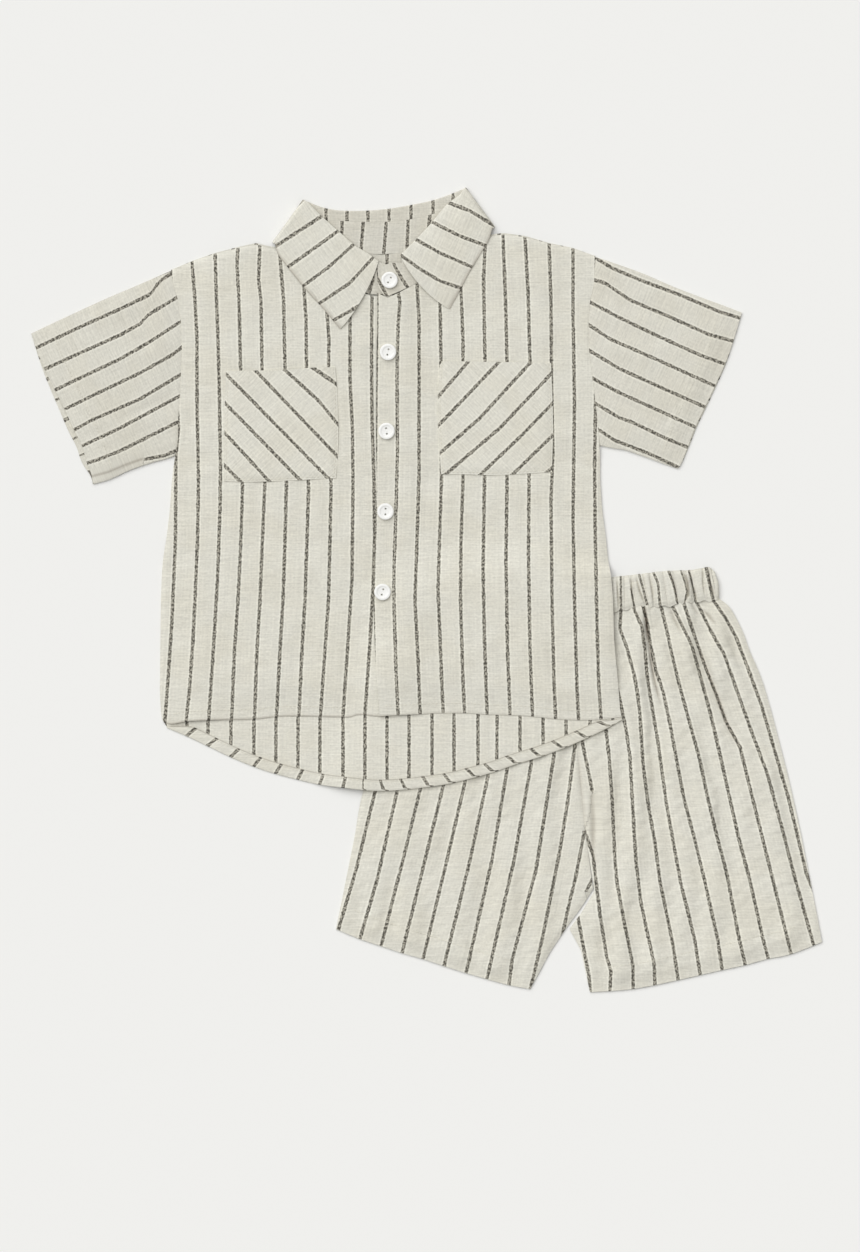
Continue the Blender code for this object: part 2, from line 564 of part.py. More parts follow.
def leg(side, waist, hem, outseam, inseam):
    """Front and back of one leg, the same outline one over the other."""
    down = spread((0, 0.25, 4), (0.25, 1, 5))
    half_gap = SEAM_GAP / 2 / PIXEL
    if side == "left":
        edges = (waist, hem, outseam, inseam)
    else:
        edges = (waist, hem, inseam, outseam)
    for layer, steps in (("back", 8), ("front", GATHERS_EACH_LEG * STEPS_EACH_RIDGE)):
        across = np.linspace(0, 1, steps + 1)
        plan = between(*edges, across, down)
        centre_column = -1 if side == "left" else 0
        plan[:, centre_column, 0] += -half_gap if side == "left" else half_gap
        height = np.zeros(plan.shape[:2])
        if layer == "front":
            swell = ease(4 * across * (1 - across))[None] * ease(down * 2.5)[:, None]
            height = CLOTH_WALL + SEAM_GAP + 0.2 + SHORTS_PUFF * swell
            height = height + leg_gathers(across, down, plan, 0.5) * ease(4 * across * (1 - across) * 2)[None]
        grid_object(f"shorts_{layer}_{side}", plan, height, CLOTH_WALL, 1)


# Shorts: a front and a back for each leg
leg("left", LEFT_WAIST, LEFT_LEG_HEM, LEFT_OUTSEAM, LEFT_INSEAM)
leg("right", RIGHT_WAIST, RIGHT_LEG_HEM, RIGHT_OUTSEAM, RIGHT_INSEAM)

# Waistband: a gathered ring pressed flat, its ridges on the upper layer
band_steps = BAND_RIDGES * STEPS_EACH_RIDGE
band_down = np.linspace(0, 1, 3)
band_front = between(BAND_TOP, BAND_LOW, BAND_LEFT_END, BAND_RIGHT_END, np.linspace(0, 1, band_steps + 1), band_down)
band_back = between(BAND_TOP, BAND_LOW, BAND_LEFT_END, BAND_RIGHT_END, np.linspace(0, 1, 13), band_down)[:, ::-1]
ridge = 0.5 - 0.5 * np.cos(2 * np.pi * BAND_RIDGES * np.linspace(0, 1, band_steps + 1))
band_inner = WAISTBAND_WALL + SEAM_GAP
band_height = band_inner + BAND_RIDGE * ridge[None] * np.array((0.5, 1.0, 0.9))[:, None]
inset = WAISTBAND_WALL / PIXEL
for layer in (band_front, band_back):
    layer[..., 0] = 568 + (layer[..., 0] - 568) * (1 - inset / 150)
band_plan, band_level = turned_ends(
    band_front, band_height, band_back, np.full(band_back.shape[:2], WAISTBAND_WALL),
)
grid_object("waistband", band_plan, band_level, WAISTBAND_WALL, 1, closed=True)
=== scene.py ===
"""A small child's shirt and shorts in striped linen-cotton, laid flat on a pale surface
and seen from straight above."""

import json

import bmesh
import bpy
import numpy as np
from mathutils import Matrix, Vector
from mathutils.bvhtree import BVHTree

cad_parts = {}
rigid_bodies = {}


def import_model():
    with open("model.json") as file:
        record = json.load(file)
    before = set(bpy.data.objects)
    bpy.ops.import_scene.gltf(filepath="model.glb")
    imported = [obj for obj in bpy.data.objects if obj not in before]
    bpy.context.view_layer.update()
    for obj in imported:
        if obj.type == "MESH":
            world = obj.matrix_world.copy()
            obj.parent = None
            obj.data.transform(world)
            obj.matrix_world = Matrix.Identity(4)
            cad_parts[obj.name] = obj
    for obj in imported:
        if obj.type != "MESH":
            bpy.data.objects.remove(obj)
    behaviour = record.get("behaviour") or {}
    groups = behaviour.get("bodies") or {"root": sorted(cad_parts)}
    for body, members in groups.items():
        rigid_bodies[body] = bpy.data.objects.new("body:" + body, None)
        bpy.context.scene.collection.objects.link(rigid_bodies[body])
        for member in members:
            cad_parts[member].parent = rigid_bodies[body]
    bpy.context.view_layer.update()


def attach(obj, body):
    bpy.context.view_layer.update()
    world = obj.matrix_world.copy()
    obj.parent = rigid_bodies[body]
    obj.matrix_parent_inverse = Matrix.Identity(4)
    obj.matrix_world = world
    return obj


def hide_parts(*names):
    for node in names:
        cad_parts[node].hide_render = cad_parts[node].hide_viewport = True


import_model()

# Legs of the shorts. Striped linen-cotton, each leg a front and a back sewn at
# the sides and along the middle, gathered into the waistband. They lie lowest.

# The places in this file are read off the photo, in its pixels, x to the right and y down.
# The chest, 329 mm wide, ties them to the real size.
CHEST_WIDTH = 329.0
CHEST_IN_PHOTO = 422.0
PIXEL = CHEST_WIDTH / CHEST_IN_PHOTO
PHOTO_CENTRE = (425.3, 590.1)
MILLIMETRE = 0.001

# Sizes of the cloth in mm, and the heights of seams and of the lowest layers
STRIPE_PITCH = 17.2
STRIPE_WIDTH = 2.66
CLOTH_WALL = 0.45
HEM_WALL = 0.75
# A turn sharper than this, in radians, is the edge of the cloth
CUT_EDGE = 1.0
SEAM_LEVEL = 0.85
BACK_LEVEL = 0.35

LEFT_WAIST = ((419, 632.5), (494, 623.5), (569, 615.5))
RIGHT_WAIST = ((569, 615.5), (613, 610.5), (645, 605.5), (670, 604.5), (695, 600.5), (719, 598.5))
LEFT_OUTSEAM = (
    (419, 632.5), (404, 655), (396, 690), (384, 735), (363, 792), (355, 835), (350, 860), (341, 905),
    (336, 929),
)
RIGHT_OUTSEAM = (
    (719, 598.5), (730, 608), (742, 630), (750, 652), (760, 675), (768, 700), (780, 745), (790, 785),
    (800, 830),
    (807, 865), (815, 905), (822, 942),
)
LEFT_INSEAM = (
    (569, 615.5), (577, 742), (585, 830), (593, 889), (580, 909), (566, 928), (550, 952), (530, 989),
)
RIGHT_INSEAM = (
    (569, 615.5), (577, 742), (585, 830), (594.5, 891), (582.5, 911), (569.5, 929), (581, 950), (590, 992),
)
LEFT_LEG_HEM = (
    (336, 929), (360, 939), (381, 946), (402, 953), (423, 959), (444, 966), (466, 973), (487, 979),
    (509, 985), (530, 989),
)
RIGHT_LEG_HEM = (
    (590, 992), (610, 991), (632, 989), (655, 985), (678, 980), (700, 975), (722, 970), (745, 965),
    (767, 959),
    (791, 954), (822, 942),
)

# Where each stripe runs down a leg, from the viewer's left to right: x, y
LEFT_LEG_STRIPES = (
    ((405, 640), (375, 792), (356, 870), (338, 931)),
    ((424, 640), (397, 792), (377, 880), (360, 939)),
    ((442, 640), (420, 790), (403, 860), (381, 946)),
    ((461, 640), (443, 787), (425, 860), (402, 953)),
    ((480, 640), (465, 782), (447, 860), (423, 959)),
    ((499, 640), (488, 776), (470, 860), (444, 966)),
    ((518, 640), (507, 770), (492, 860), (466, 973)),
    ((536, 640), (531, 765), (514, 860), (487, 979)),
    ((552, 640), (554, 755), (536, 870), (512, 960), (509, 985)),
    ((566, 640), (575, 745), (568, 800), (560, 850), (542, 940), (531, 986)),
    ((583, 640), (590, 745), (584, 833), (580, 855), (575, 880), (570, 900), (566, 918), (563, 932)),
    ((600, 640), (606, 745), (604, 833), (597, 870), (590, 884), (585, 893), (588, 905), (600, 950)),
)
RIGHT_LEG_STRIPES = (
    ((560, 640), (566, 830), (577, 912), (584, 950), (589, 975), (590, 988)),
    ((575, 640), (579, 700), (583, 746), (592, 789), (590, 812), (585, 832), (593, 855), (596, 881),
     (600, 915), (607, 958), (611, 971), (610, 990)),
    ((590, 640), (606, 730), (609, 756), (612, 800), (615, 860), (617, 882), (624, 922), (633, 966),
     (633, 988)),
    ((604, 610), (607, 650), (620, 700), (626, 729), (630, 756), (633, 811), (636, 862), (641, 903),
     (654, 963), (655, 985)),
    ((621, 609), (620, 629), (627, 648), (634, 673), (637, 690), (640, 714), (643, 765), (648, 804),
     (655, 843), (660, 882), (673, 945), (678, 979)),
    ((634, 609), (642, 627), (645, 650), (647, 675), (651, 701), (658, 742), (666, 801), (674, 846),
     (681, 884), (695, 941), (700, 974)),
    ((643.5, 608), (647, 622), (650, 642), (656, 671), (663, 691), (670, 724), (675, 752), (684, 799),
     (694, 837), (705, 882), (718, 941), (722, 969)),
    ((661, 607), (666, 627), (672, 655), (678, 680), (688, 717), (699, 757), (708, 799), (717, 837),
     (727, 875), (739, 938), (745, 964)),
    ((673, 607), (682, 625), (692, 646), (701, 679), (711, 716), (721, 759), (730, 799), (739, 839),
     (750, 881), (763, 939), (768, 958)),
    ((684, 604), (692, 629), (699, 649), (706, 669), (716, 694), (726, 722), (740, 747), (749, 784),
     (764, 844), (778, 901), (791, 953)),
    ((696, 601), (706, 621), (716, 640), (724, 654), (736, 688), (751, 730), (767, 773), (783, 832),
     (795, 879), (814, 946)),
    ((713, 600), (726, 619), (736, 637), (749, 671), (762, 707), (777, 759), (788, 796), (797, 834),
     (806, 872), (819, 905), (833, 945)),
)

# Folds pressed by the gathering and by the way the legs lie. One row each: half width and
# depth in mm, then x, y along the fold. A negative depth is a ridge.
LEG_FOLDS = (
    (1.1, 4.6, (644, 605), (646, 618), (647, 630), (649, 643)),
    (1.0, 2.2, (648, 638), (651, 660), (655, 683), (661, 705)),
    (2.6, -2.6, (640, 610), (641, 625), (643, 642)),
    (6.0, 2.8, (651, 718), (657, 760), (663, 800), (668, 842)),
    (6.0, 2.4, (715, 770), (723, 810), (730, 850)),
    (8.0, 2.6, (629, 882), (633, 915), (641, 948)),
    (5.0, 2.2, (699, 722), (706, 750), (714, 778)),
    (3.0, 1.6, (594, 790), (596, 815), (596, 840)),
    (9.0, 1.8, (768, 735), (790, 800), (806, 880), (812, 922)),
    (5.0, -2.9, (633, 614), (637, 640), (639, 670), (641, 700)),
    (1.2, 1.5, (669, 605), (674, 619), (682, 634)),
    (1.0, 1.2, (690, 602), (699, 616)),
    (1.1, 1.6, (701, 608), (708, 615), (716, 625)),
    (1.0, 1.0, (712, 600), (722, 611)),
    (1.0, 0.9, (633, 609), (641, 618)),
    (1.8, 1.6, (697, 645), (704, 662), (712, 683), (721, 707), (728, 726), (739, 747)),
    (6.5, 2.2, (722, 690), (731, 712), (741, 738)),
    (5.0, -2.6, (706, 640), (716, 668), (726, 690)),
    (4.5, -2.3, (683, 640), (692, 668), (700, 690), (706, 715)),
    (4.5, 2.0, (644, 660), (648, 690), (652, 715), (660, 760), (664, 790)),
    (4.0, 1.6, (637, 690), (641, 730), (644, 770)),
    (4.5, -2.2, (660, 640), (667, 670), (674, 700)),
    (3.5, -2.0, (683, 612), (688, 622), (694, 632)),
    (5.5, -2.0, (708, 604), (720, 630), (728, 650)),
    (3.5, 1.2, (723, 623), (738, 652), (754, 695)),
    (1.6, 1.3, (592, 790), (593.5, 820), (593, 850), (597, 872)),
    (4.0, 1.2, (619, 762), (620, 800), (622, 850)),
    (7.0, 1.8, (735, 760), (728, 800), (722, 835), (726, 870)),
    (9.0, 1.3, (636, 900), (632, 930), (640, 958)),
    (8.0, 1.2, (668, 870), (676, 905), (690, 935)),
    (9.0, -1.2, (700, 800), (712, 850), (724, 900)),
    (9.0, 1.2, (790, 800), (800, 860), (808, 910)),
    (7.0, 1.3, (578, 915), (584, 935), (592, 955)),
    (1.2, 0.9, (577, 742), (580, 775), (584, 815), (585, 832)),
    (6.0, 1.3, (560, 770), (548, 830), (541, 880)),
    (8.0, 1.2, (455, 800), (441, 860), (430, 915)),
    (8.0, -1.2, (400, 800), (392, 850), (380, 905)),
    (7.0, 1.0, (505, 800), (497, 860), (480, 930)),
    (5.0, 2.3, (560, 620), (566, 680), (571, 730)),
    (5.0, 2.3, (530, 622), (526, 670), (520, 740)),
    (5.0, 2.6, (500, 626), (496, 690), (488, 760)),
    (5.0, 2.3, (470, 630), (462, 680), (452, 740)),
    (5.0, 2.3, (440, 634), (430, 690), (418, 750)),
    (4.0, 2.2, (590, 616), (596, 670), (603, 720)),
)


def ease(share):
    """0 to 1 with soft ends."""
    share = np.clip(share, 0.0, 1.0)
    return share * share * (3.0 - 2.0 * share)


def bell(away, width):
    """1 on a line, falling to 0 at about twice the width from it."""
    return np.exp(-((away / width) ** 2))


def along(points, shares):
    """Places at the given shares of the length of a line through the points."""
    points = np.asarray(points, float)
    steps = np.linalg.norm(np.diff(points, axis=0), axis=1)
    reached = np.concatenate([[0.0], np.cumsum(steps)]) / steps.sum()
    return np.stack([np.interp(shares, reached, points[:, i]) for i in range(2)], axis=-1)


def rounded(points, steps=6):
    """A smooth line through the points, so that a cut edge has no corners between them."""
    points = np.asarray(points, float)
    ends = np.concatenate([[2 * points[0] - points[1]], points, [2 * points[-1] - points[-2]]])
    t = np.arange(steps)[:, None] / steps
    made = []
    for a, b, c, d in zip(ends, ends[1:], ends[2:], ends[3:]):
        curve = 2 * b + (c - a) * t + (2 * a - 5 * b + 4 * c - d) * t ** 2 + (3 * b - a - 3 * c + d) * t ** 3
        made.append(curve / 2)
    return np.concatenate([*made, points[-1:]])


def between(top, bottom, left, right, across, down):
    """Places on a panel between its four edges: rows down the panel, columns across it."""
    top, bottom = along(top, across), along(bottom, across)
    left, right = along(left, down), along(right, down)
    u, v = across[None, :, None], down[:, None, None]
    edges = (1 - v) * top[None] + v * bottom[None] + (1 - u) * left[:, None] + u * right[:, None]
    corners = (1 - v) * ((1 - u) * top[0] + u * top[-1]) + v * ((1 - u) * bottom[0] + u * bottom[-1])
    return edges - corners


def reach_from(places, line, closed=False):
    """Distance in pixels from each place to a line. For a closed outline it is 0 inside."""
    line = np.asarray(line, float)
    nearest = np.full(places.shape[:-1], np.inf)
    inside = np.zeros(places.shape[:-1], bool)
    ends = np.roll(line, -1, axis=0) if closed else line[1:]
    for start, end in zip(line, ends):
        span = end - start
        if not span.any():
            continue
        share = np.clip(((places - start) @ span) / (span @ span), 0.0, 1.0)
        nearest = np.minimum(nearest, np.linalg.norm(places - start - share[..., None] * span, axis=-1))
        crosses = (start[1] > places[..., 1]) != (end[1] > places[..., 1])
        rise = span[1] if span[1] else 1.0
        inside ^= crosses & (places[..., 0] < start[0] + span[0] * (places[..., 1] - start[1]) / rise)
    return np.where(inside, 0.0, nearest) if closed else nearest


# Shares of the way from one stripe to the next
MIDWAY_STARTS, MIDWAY_LASTS = 0.35, 0.3


def stripes_passed(places, stripes, axis=0, keeps=1.0):
    """How many stripes lie between a place and the first one. Axis 0 counts to the right, 1 downwards.
    Beside a stripe the cloth keeps its true width, and what a gather takes in is lost midway between two.
    With keeps at 0 the count runs evenly from line to line instead."""
    across, level = places[..., axis], places[..., 1 - axis]
    runs = []
    for stripe in stripes:
        stripe = np.array(sorted(stripe, key=lambda place: place[1 - axis]), float)
        t, s = stripe[:, 1 - axis], stripe[:, axis]
        before = np.minimum(level - t[0], 0.0) * (s[1] - s[0]) / (t[1] - t[0])
        after = np.maximum(level - t[-1], 0.0) * (s[-1] - s[-2]) / (t[-1] - t[-2])
        step = np.clip(np.searchsorted(t, level) - 1, 0, len(t) - 2)
        slope = np.diff(s)[step] / np.diff(t)[step]
        runs.append((np.interp(level, t, s) + before + after, slope))
    passed = np.zeros(across.shape)
    for number, ((here, slope), (following, next_slope)) in enumerate(zip(runs, runs[1:])):
        share = (across - here) / (following - here)
        slant = np.sqrt(1 + ((slope + next_slope) / 2) ** 2)
        true = np.abs(following - here) * PIXEL / STRIPE_PITCH / slant
        pitches = 1 + (true - 1) * keeps
        midway = ease((share - MIDWAY_STARTS) / MIDWAY_LASTS)
        count = number + share * pitches * (1 - midway) + (1 - (1 - share) * pitches) * midway
        passed = count if number == 0 else np.where(share > 0, count, passed)
    return passed


# The cloth beside a fold rises by this share of its depth. Only a fold narrower than
# this, in mm, gets painted shade, and one this deep gets the darkest.
LIPS_SHARE = 0.3
SHARP_FOLD = 2.0
DARKEST_FOLD = 4.0


def folds(places, table):
    """Lift in mm from the listed folds, and how deep in a fold each place lies, from 0 to 1."""
    lift = np.zeros(places.shape[:-1])
    painted_fold_shade = np.zeros(places.shape[:-1])
    for half_width, depth, *line in table:
        line = np.array(line, float)
        steps = np.linalg.norm(np.diff(line, axis=0), axis=1)
        reached = np.concatenate([[0.0], np.cumsum(steps)]) / steps.sum()
        nearest = np.full(places.shape[:-1], np.inf)
        share_there = np.zeros(places.shape[:-1])
        for number, (start, end) in enumerate(zip(line, line[1:])):
            span = end - start
            share = np.clip(((places - start) @ span) / (span @ span), 0.0, 1.0)
            away = np.linalg.norm(places - start - share[..., None] * span, axis=-1) * PIXEL
            closer = away < nearest
            nearest = np.where(closer, away, nearest)
            on_line = reached[number] + share * (reached[number + 1] - reached[number])
            share_there = np.where(closer, on_line, share_there)
        strength = np.sin(np.pi * np.clip(share_there, 0.03, 0.97)) ** 0.6
        trough = bell(nearest, half_width) * strength
        lips = bell(nearest - 2.0 * half_width, half_width) * strength
        lift += depth * (LIPS_SHARE * lips - trough)
        # Narrow folds get painted shade, darker as they deepen
        if depth > 0 and half_width < SHARP_FOLD:
            painted_fold_shade = np.maximum(painted_fold_shade, trough * min(1.0, depth / DARKEST_FOLD))
    return lift, painted_fold_shade


def swells(places, length, seed, turn=np.pi):
    """Slow uneven swells, about 1 high each way, of cloth that isn't pressed quite flat.
    A small turn, in radians, keeps them running up and down."""
    random = np.random.default_rng(seed)
    total = np.zeros(places.shape[:-1])
    for _ in range(9):
        angle = random.uniform(-0.5, 0.5) * turn
        size = length / PIXEL * random.uniform(0.6, 1.7)
        phase = random.uniform(0, 2 * np.pi)
        way = places[..., 0] * np.cos(angle) + places[..., 1] * np.sin(angle)
        total += np.sin(2 * np.pi * way / size + phase)
    return total / 3.0


def linear_colour(code):
    """Display colour code to linear values."""
    parts = np.array([int(code[i:i + 2], 16) / 255 for i in (0, 2, 4)])
    linear = np.where(parts <= 0.04045, parts / 12.92, ((parts + 0.055) / 1.055) ** 2.4)
    return (*linear.tolist(), 1.0)


def node(tree, kind, inputs, **settings):
    """Adds a shader node. An input is given a value, or another node's output to link to."""
    made = tree.nodes.new("ShaderNode" + kind)
    for name, value in settings.items():
        setattr(made, name, value)
    for name, value in inputs.items():
        if isinstance(value, bpy.types.NodeSocket):
            tree.links.new(value, made.inputs[name])
        else:
            made.inputs[name].default_value = value
    return made


def woven_linen_cotton():
    """Undyed linen-cotton, plain weave, with narrow stripes of dark heathered yarn in the warp.
    Uneven weft yarns show as fine pale and dark lines across the stripes, and the surface is matt."""
    material = bpy.data.materials.new("striped_linen_cotton_plain_weave")
    material.use_nodes = True
    tree = material.node_tree
    surface = tree.nodes["Principled BSDF"]

    def maths(operation, first, second=0.0, third=0.0):
        return node(tree, "Math", {0: first, 1: second, 2: third}, operation=operation).outputs[0]

    def mix(share, first, second):
        made = node(tree, "Mix", {0: share, 6: first, 7: second}, data_type="RGBA")
        return made.outputs[2]

    def grain(across, lengthways, detail, seed):
        """Noise in cells of the given size in mm, across the stripes and along them."""
        place = node(tree, "CombineXYZ", {
            "X": maths("DIVIDE", across_mm, across), "Y": maths("DIVIDE", along_mm, lengthways), "Z": seed,
        })
        inputs = {"Vector": place.outputs[0], "Scale": 1.0, "Detail": detail, "Roughness": 0.6}
        return node(tree, "TexNoise", inputs).outputs[0]

    def stepped(value, low, high):
        return node(tree, "MapRange", {0: value, 1: low, 2: high}, interpolation_type="SMOOTHSTEP").outputs[0]

    cloth_map = node(tree, "UVMap", {}, uv_map="cloth")
    parted = node(tree, "SeparateXYZ", {0: cloth_map.outputs[0]})
    across_mm = maths("MULTIPLY", parted.outputs[0], 1000.0)
    along_mm = maths("MULTIPLY", parted.outputs[1], 1000.0)
    painted_shade = node(tree, "Attribute", {}, attribute_name="painted_shade").outputs["Fac"]

    # Stripe: its edges waver with the yarns, and it narrows where the cloth dives into a fold
    turns = maths("FRACT", maths("ADD", maths("DIVIDE", across_mm, STRIPE_PITCH), 100.5))
    away = maths("MULTIPLY", maths("ABSOLUTE", maths("SUBTRACT", turns, 0.5)), STRIPE_PITCH)
    waver = maths("MULTIPLY_ADD", grain(40.0, 7.0, 2.0, 3.0), 0.9, -0.45)
    fuzz = maths("MULTIPLY_ADD", grain(1.3, 1.6, 1.0, 5.0), 1.3, -0.65)
    reach = maths("ADD", away, maths("ADD", waver, fuzz))
    half = maths("MULTIPLY_ADD", painted_shade, -0.25 * STRIPE_WIDTH / 2, STRIPE_WIDTH / 2)
    striped = stepped(maths("SUBTRACT", half, reach), -0.25, 0.25)

    # Heathered yarn: dark and pale fibres spun together. Real flecks are finer, and are
    # drawn 1.5 mm wide to be seen.
    fleck = stepped(grain(1.45, 1.75, 1.0, 11.0), 0.42, 0.60)
    yarn = mix(fleck, linear_colour("545149"), linear_colour("B0AC9F"))

    # Ground: slubs of the weft, faint lines of the warp, and slow changes of tone
    slub = grain(16.0, 1.15, 2.0, 17.0)
    line = grain(1.4, 60.0, 2.0, 23.0)
    tone = grain(50.0, 35.0, 2.0, 29.0)
    speck = grain(2.0, 1.6, 1.0, 31.0)
    shade = maths("MULTIPLY_ADD", slub, 0.40, 0.80)
    shade = maths("MULTIPLY", shade, maths("MULTIPLY_ADD", line, 0.20, 0.90))
    shade = maths("MULTIPLY", shade, maths("MULTIPLY_ADD", speck, 0.30, 0.85))
    flank = stepped(maths("SUBTRACT", half, reach), -1.4, -1.0)
    shade = maths("MULTIPLY", shade, maths("MULTIPLY_ADD", flank, 0.10, 1.0))
    ground = mix(stepped(tone, 0.35, 0.7), linear_colour("DDDBD0"), linear_colour("DBD8CB"))
    ground = node(tree, "VectorMath", {0: ground, "Scale": shade}, operation="SCALE").outputs[0]
    # Painted shade: the cloth turns a darker, warmer brown by the shade value kept on each point, in narrow
    # folds, along some edges and seams, and inside the neck
    painted_warm_shade = mix(maths("MINIMUM", painted_shade, 1.0), linear_colour("FFFFFF"), linear_colour("7A6655"))
    ground = mix(striped, ground, yarn)
    ground = node(tree, "VectorMath", {0: ground, 1: painted_warm_shade}, operation="MULTIPLY").outputs[0]

    # Weave: real threads are 0.4 mm apart, and are drawn at 0.9 mm to be seen
    thread_turn = 2 * np.pi / 0.9
    over = maths("SINE", maths("MULTIPLY", across_mm, thread_turn))
    under = maths("SINE", maths("MULTIPLY", along_mm, thread_turn))
    weave = maths("ADD", maths("MULTIPLY", over, under), maths("MULTIPLY", slub, 3.0))
    relief = node(tree, "Bump", {"Height": weave, "Distance": 0.00008, "Strength": 0.6})
    tree.links.new(ground, surface.inputs["Base Color"])
    tree.links.new(relief.outputs[0], surface.inputs["Normal"])
    surface.inputs["Roughness"].default_value = 0.9
    surface.inputs["Specular IOR Level"].default_value = 0.25
    surface.inputs["Sheen Weight"].default_value = 0.12
    surface.inputs["Sheen Roughness"].default_value = 0.5
    return material


striped_cloth = woven_linen_cotton()


def cloth_piece(name, plan, height, passed, painted_shade=0.0, hem=None, grain=(0.0, 1.0), closed=False):
    """A thin sheet of cloth from its places in the photo and its height in mm.
    It keeps the stripes passed and the way along them as a map in metres of cloth."""
    rows, columns = plan.shape[:2]
    metres = PIXEL * MILLIMETRE
    x, y = (plan[..., 0] - PHOTO_CENTRE[0]) * metres, (PHOTO_CENTRE[1] - plan[..., 1]) * metres
    z = np.broadcast_to(height * MILLIMETRE, x.shape)
    index = np.arange(rows * columns).reshape(rows, columns)
    faces = np.stack([index[:-1, :-1], index[1:, :-1], index[1:, 1:], index[:-1, 1:]], axis=-1).reshape(-1, 4)
    way_along = np.sum(plan * grain, axis=-1) * metres
    cloth_places = np.stack([passed * STRIPE_PITCH * MILLIMETRE, way_along], axis=-1).reshape(-1, 2)
    corners = cloth_places[faces.reshape(-1)]
    if closed:
        joined = index.copy()
        joined[:, -1] = index[:, 0]
        faces = joined.reshape(-1)[faces]
    mesh = bpy.data.meshes.new(name)
    mesh.from_pydata(np.stack([x, y, z], axis=-1).reshape(-1, 3).tolist(), [], faces.tolist())
    mesh.polygons.foreach_set("use_smooth", np.ones(len(faces), bool))
    mesh.uv_layers.new(name="cloth").data.foreach_set("uv", corners.reshape(-1))
    # Painted shade kept on each point, from 0 to 1: it darkens the cloth and narrows its stripes
    folded = mesh.attributes.new("painted_shade", "FLOAT", "POINT")
    folded.data.foreach_set("value", np.broadcast_to(painted_shade, x.shape).reshape(-1))
    piece = bpy.data.objects.new(name, mesh)
    bpy.context.scene.collection.objects.link(piece)
    thicken = piece.modifiers.new("cloth", "SOLIDIFY")
    thicken.offset = 0.0
    thicken.thickness = CLOTH_WALL * MILLIMETRE
    if hem is not None:
        group = piece.vertex_groups.new(name="hem")
        thinnest = CLOTH_WALL / HEM_WALL
        weight = np.round(thinnest + (1 - thinnest) * np.broadcast_to(hem, x.shape).reshape(-1), 1)
        for value in np.unique(weight):
            group.add(np.flatnonzero(weight == value).tolist(), float(value), "REPLACE")
        thicken.thickness = HEM_WALL * MILLIMETRE
        thicken.vertex_group = "hem"
    if closed:
        drop_loose(mesh)
    graph = bpy.context.evaluated_depsgraph_get()
    thick = bpy.data.meshes.new_from_object(piece.evaluated_get(graph))
    piece.modifiers.clear()
    piece.vertex_groups.clear()
    piece.data = thick
    bpy.data.meshes.remove(mesh)
    thick.name = name
    thick.set_sharp_from_angle(angle=CUT_EDGE)
    thick.materials.clear()
    thick.materials.append(striped_cloth)
    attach(piece, "root")
    return piece


def drop_loose(mesh):
    """Takes away the points that no face uses, once a ring is closed."""
    shape = bmesh.new()
    shape.from_mesh(mesh)
    for vert in [vert for vert in shape.verts if not vert.link_faces]:
        shape.verts.remove(vert)
    shape.to_mesh(mesh)
    shape.free()


# A hem's stitches, in mm: how far they lie from its folded edge, and the dent and puckers they make
STITCHES_IN = 1.5
DENT_WIDTH, DENT_DEPTH = 0.9, 0.7
PUCKER_WIDTH, PUCKER_HEIGHT = 4.0, 0.09
PUCKER_LENGTHS = (5.0, 16.0)


def hem_strip(away, width):
    """1 in a hem of the given width in mm, falling to 0 past it, with the stitched line pressed in."""
    away = away * PIXEL
    strip = 1 - ease((away - width) / STITCHES_IN)
    return np.clip(strip - DENT_DEPTH * bell(away - width + STITCHES_IN, DENT_WIDTH), 0.0, 1.0)


def puckers(away, width, run, seed):
    """Small lifts in mm between stitches along a hem; run is the way along it in pixels."""
    random = np.random.default_rng(seed)
    wave = sum(
        np.sin(2 * np.pi * run * PIXEL / random.uniform(*PUCKER_LENGTHS) + random.uniform(0, 6.28))
        for _ in range(5)
    )
    return PUCKER_HEIGHT * wave * bell(away * PIXEL - width + STITCHES_IN, PUCKER_WIDTH)


# Upper, lower, left and right edge of each leg
LEG_EDGES = {
    "left": (rounded(LEFT_WAIST), rounded(LEFT_LEG_HEM), rounded(LEFT_OUTSEAM), LEFT_INSEAM),
    "right": (rounded(RIGHT_WAIST), rounded(RIGHT_LEG_HEM), RIGHT_INSEAM, rounded(RIGHT_OUTSEAM)),
}
HEM_OF_LEG = 20.5
# A fold beside the inner seam hides a length of stripe between these two corners
HIDING_FOLD = ((580, 793), (601, 829))
# The inner seam of the left leg takes in its last stripe right of this and below it
SEAM_TAKES = (580, 892)
CENTRE_SEAM = ((569, 617), (577, 742), (585, 830), (594, 890))
# Heights in mm
LEG_LEVEL = 2.05
LEG_PUFF = 1.0
LEG_HEM_LEVEL = 0.95
HEM_SETTLES = 14.0
# How wide the legs roll down to their seams, in pixels, and the groove of the middle seam
SEAM_ROLL = 4.5
GROOVE_DEPTH, GROOVE_WIDTH = 0.45, 1.4
# Uneven swells: height and length in mm, seed, turn in radians
LEG_SWELLS = ((0.45, 38, 5, np.pi), (0.85, 22, 15, 0.3), (0.2, 8, 27, np.pi))
# Lengths in pixels of the waves that the gathers press into the tops of the legs
TOP_WAVES = (5.3, 7.9, 12.7)
# Left of the shirt's side the legs stay below this, under the shirt
SHIRT_SIDE = 605
HIGHEST_UNDER_SHIRT = 3.7

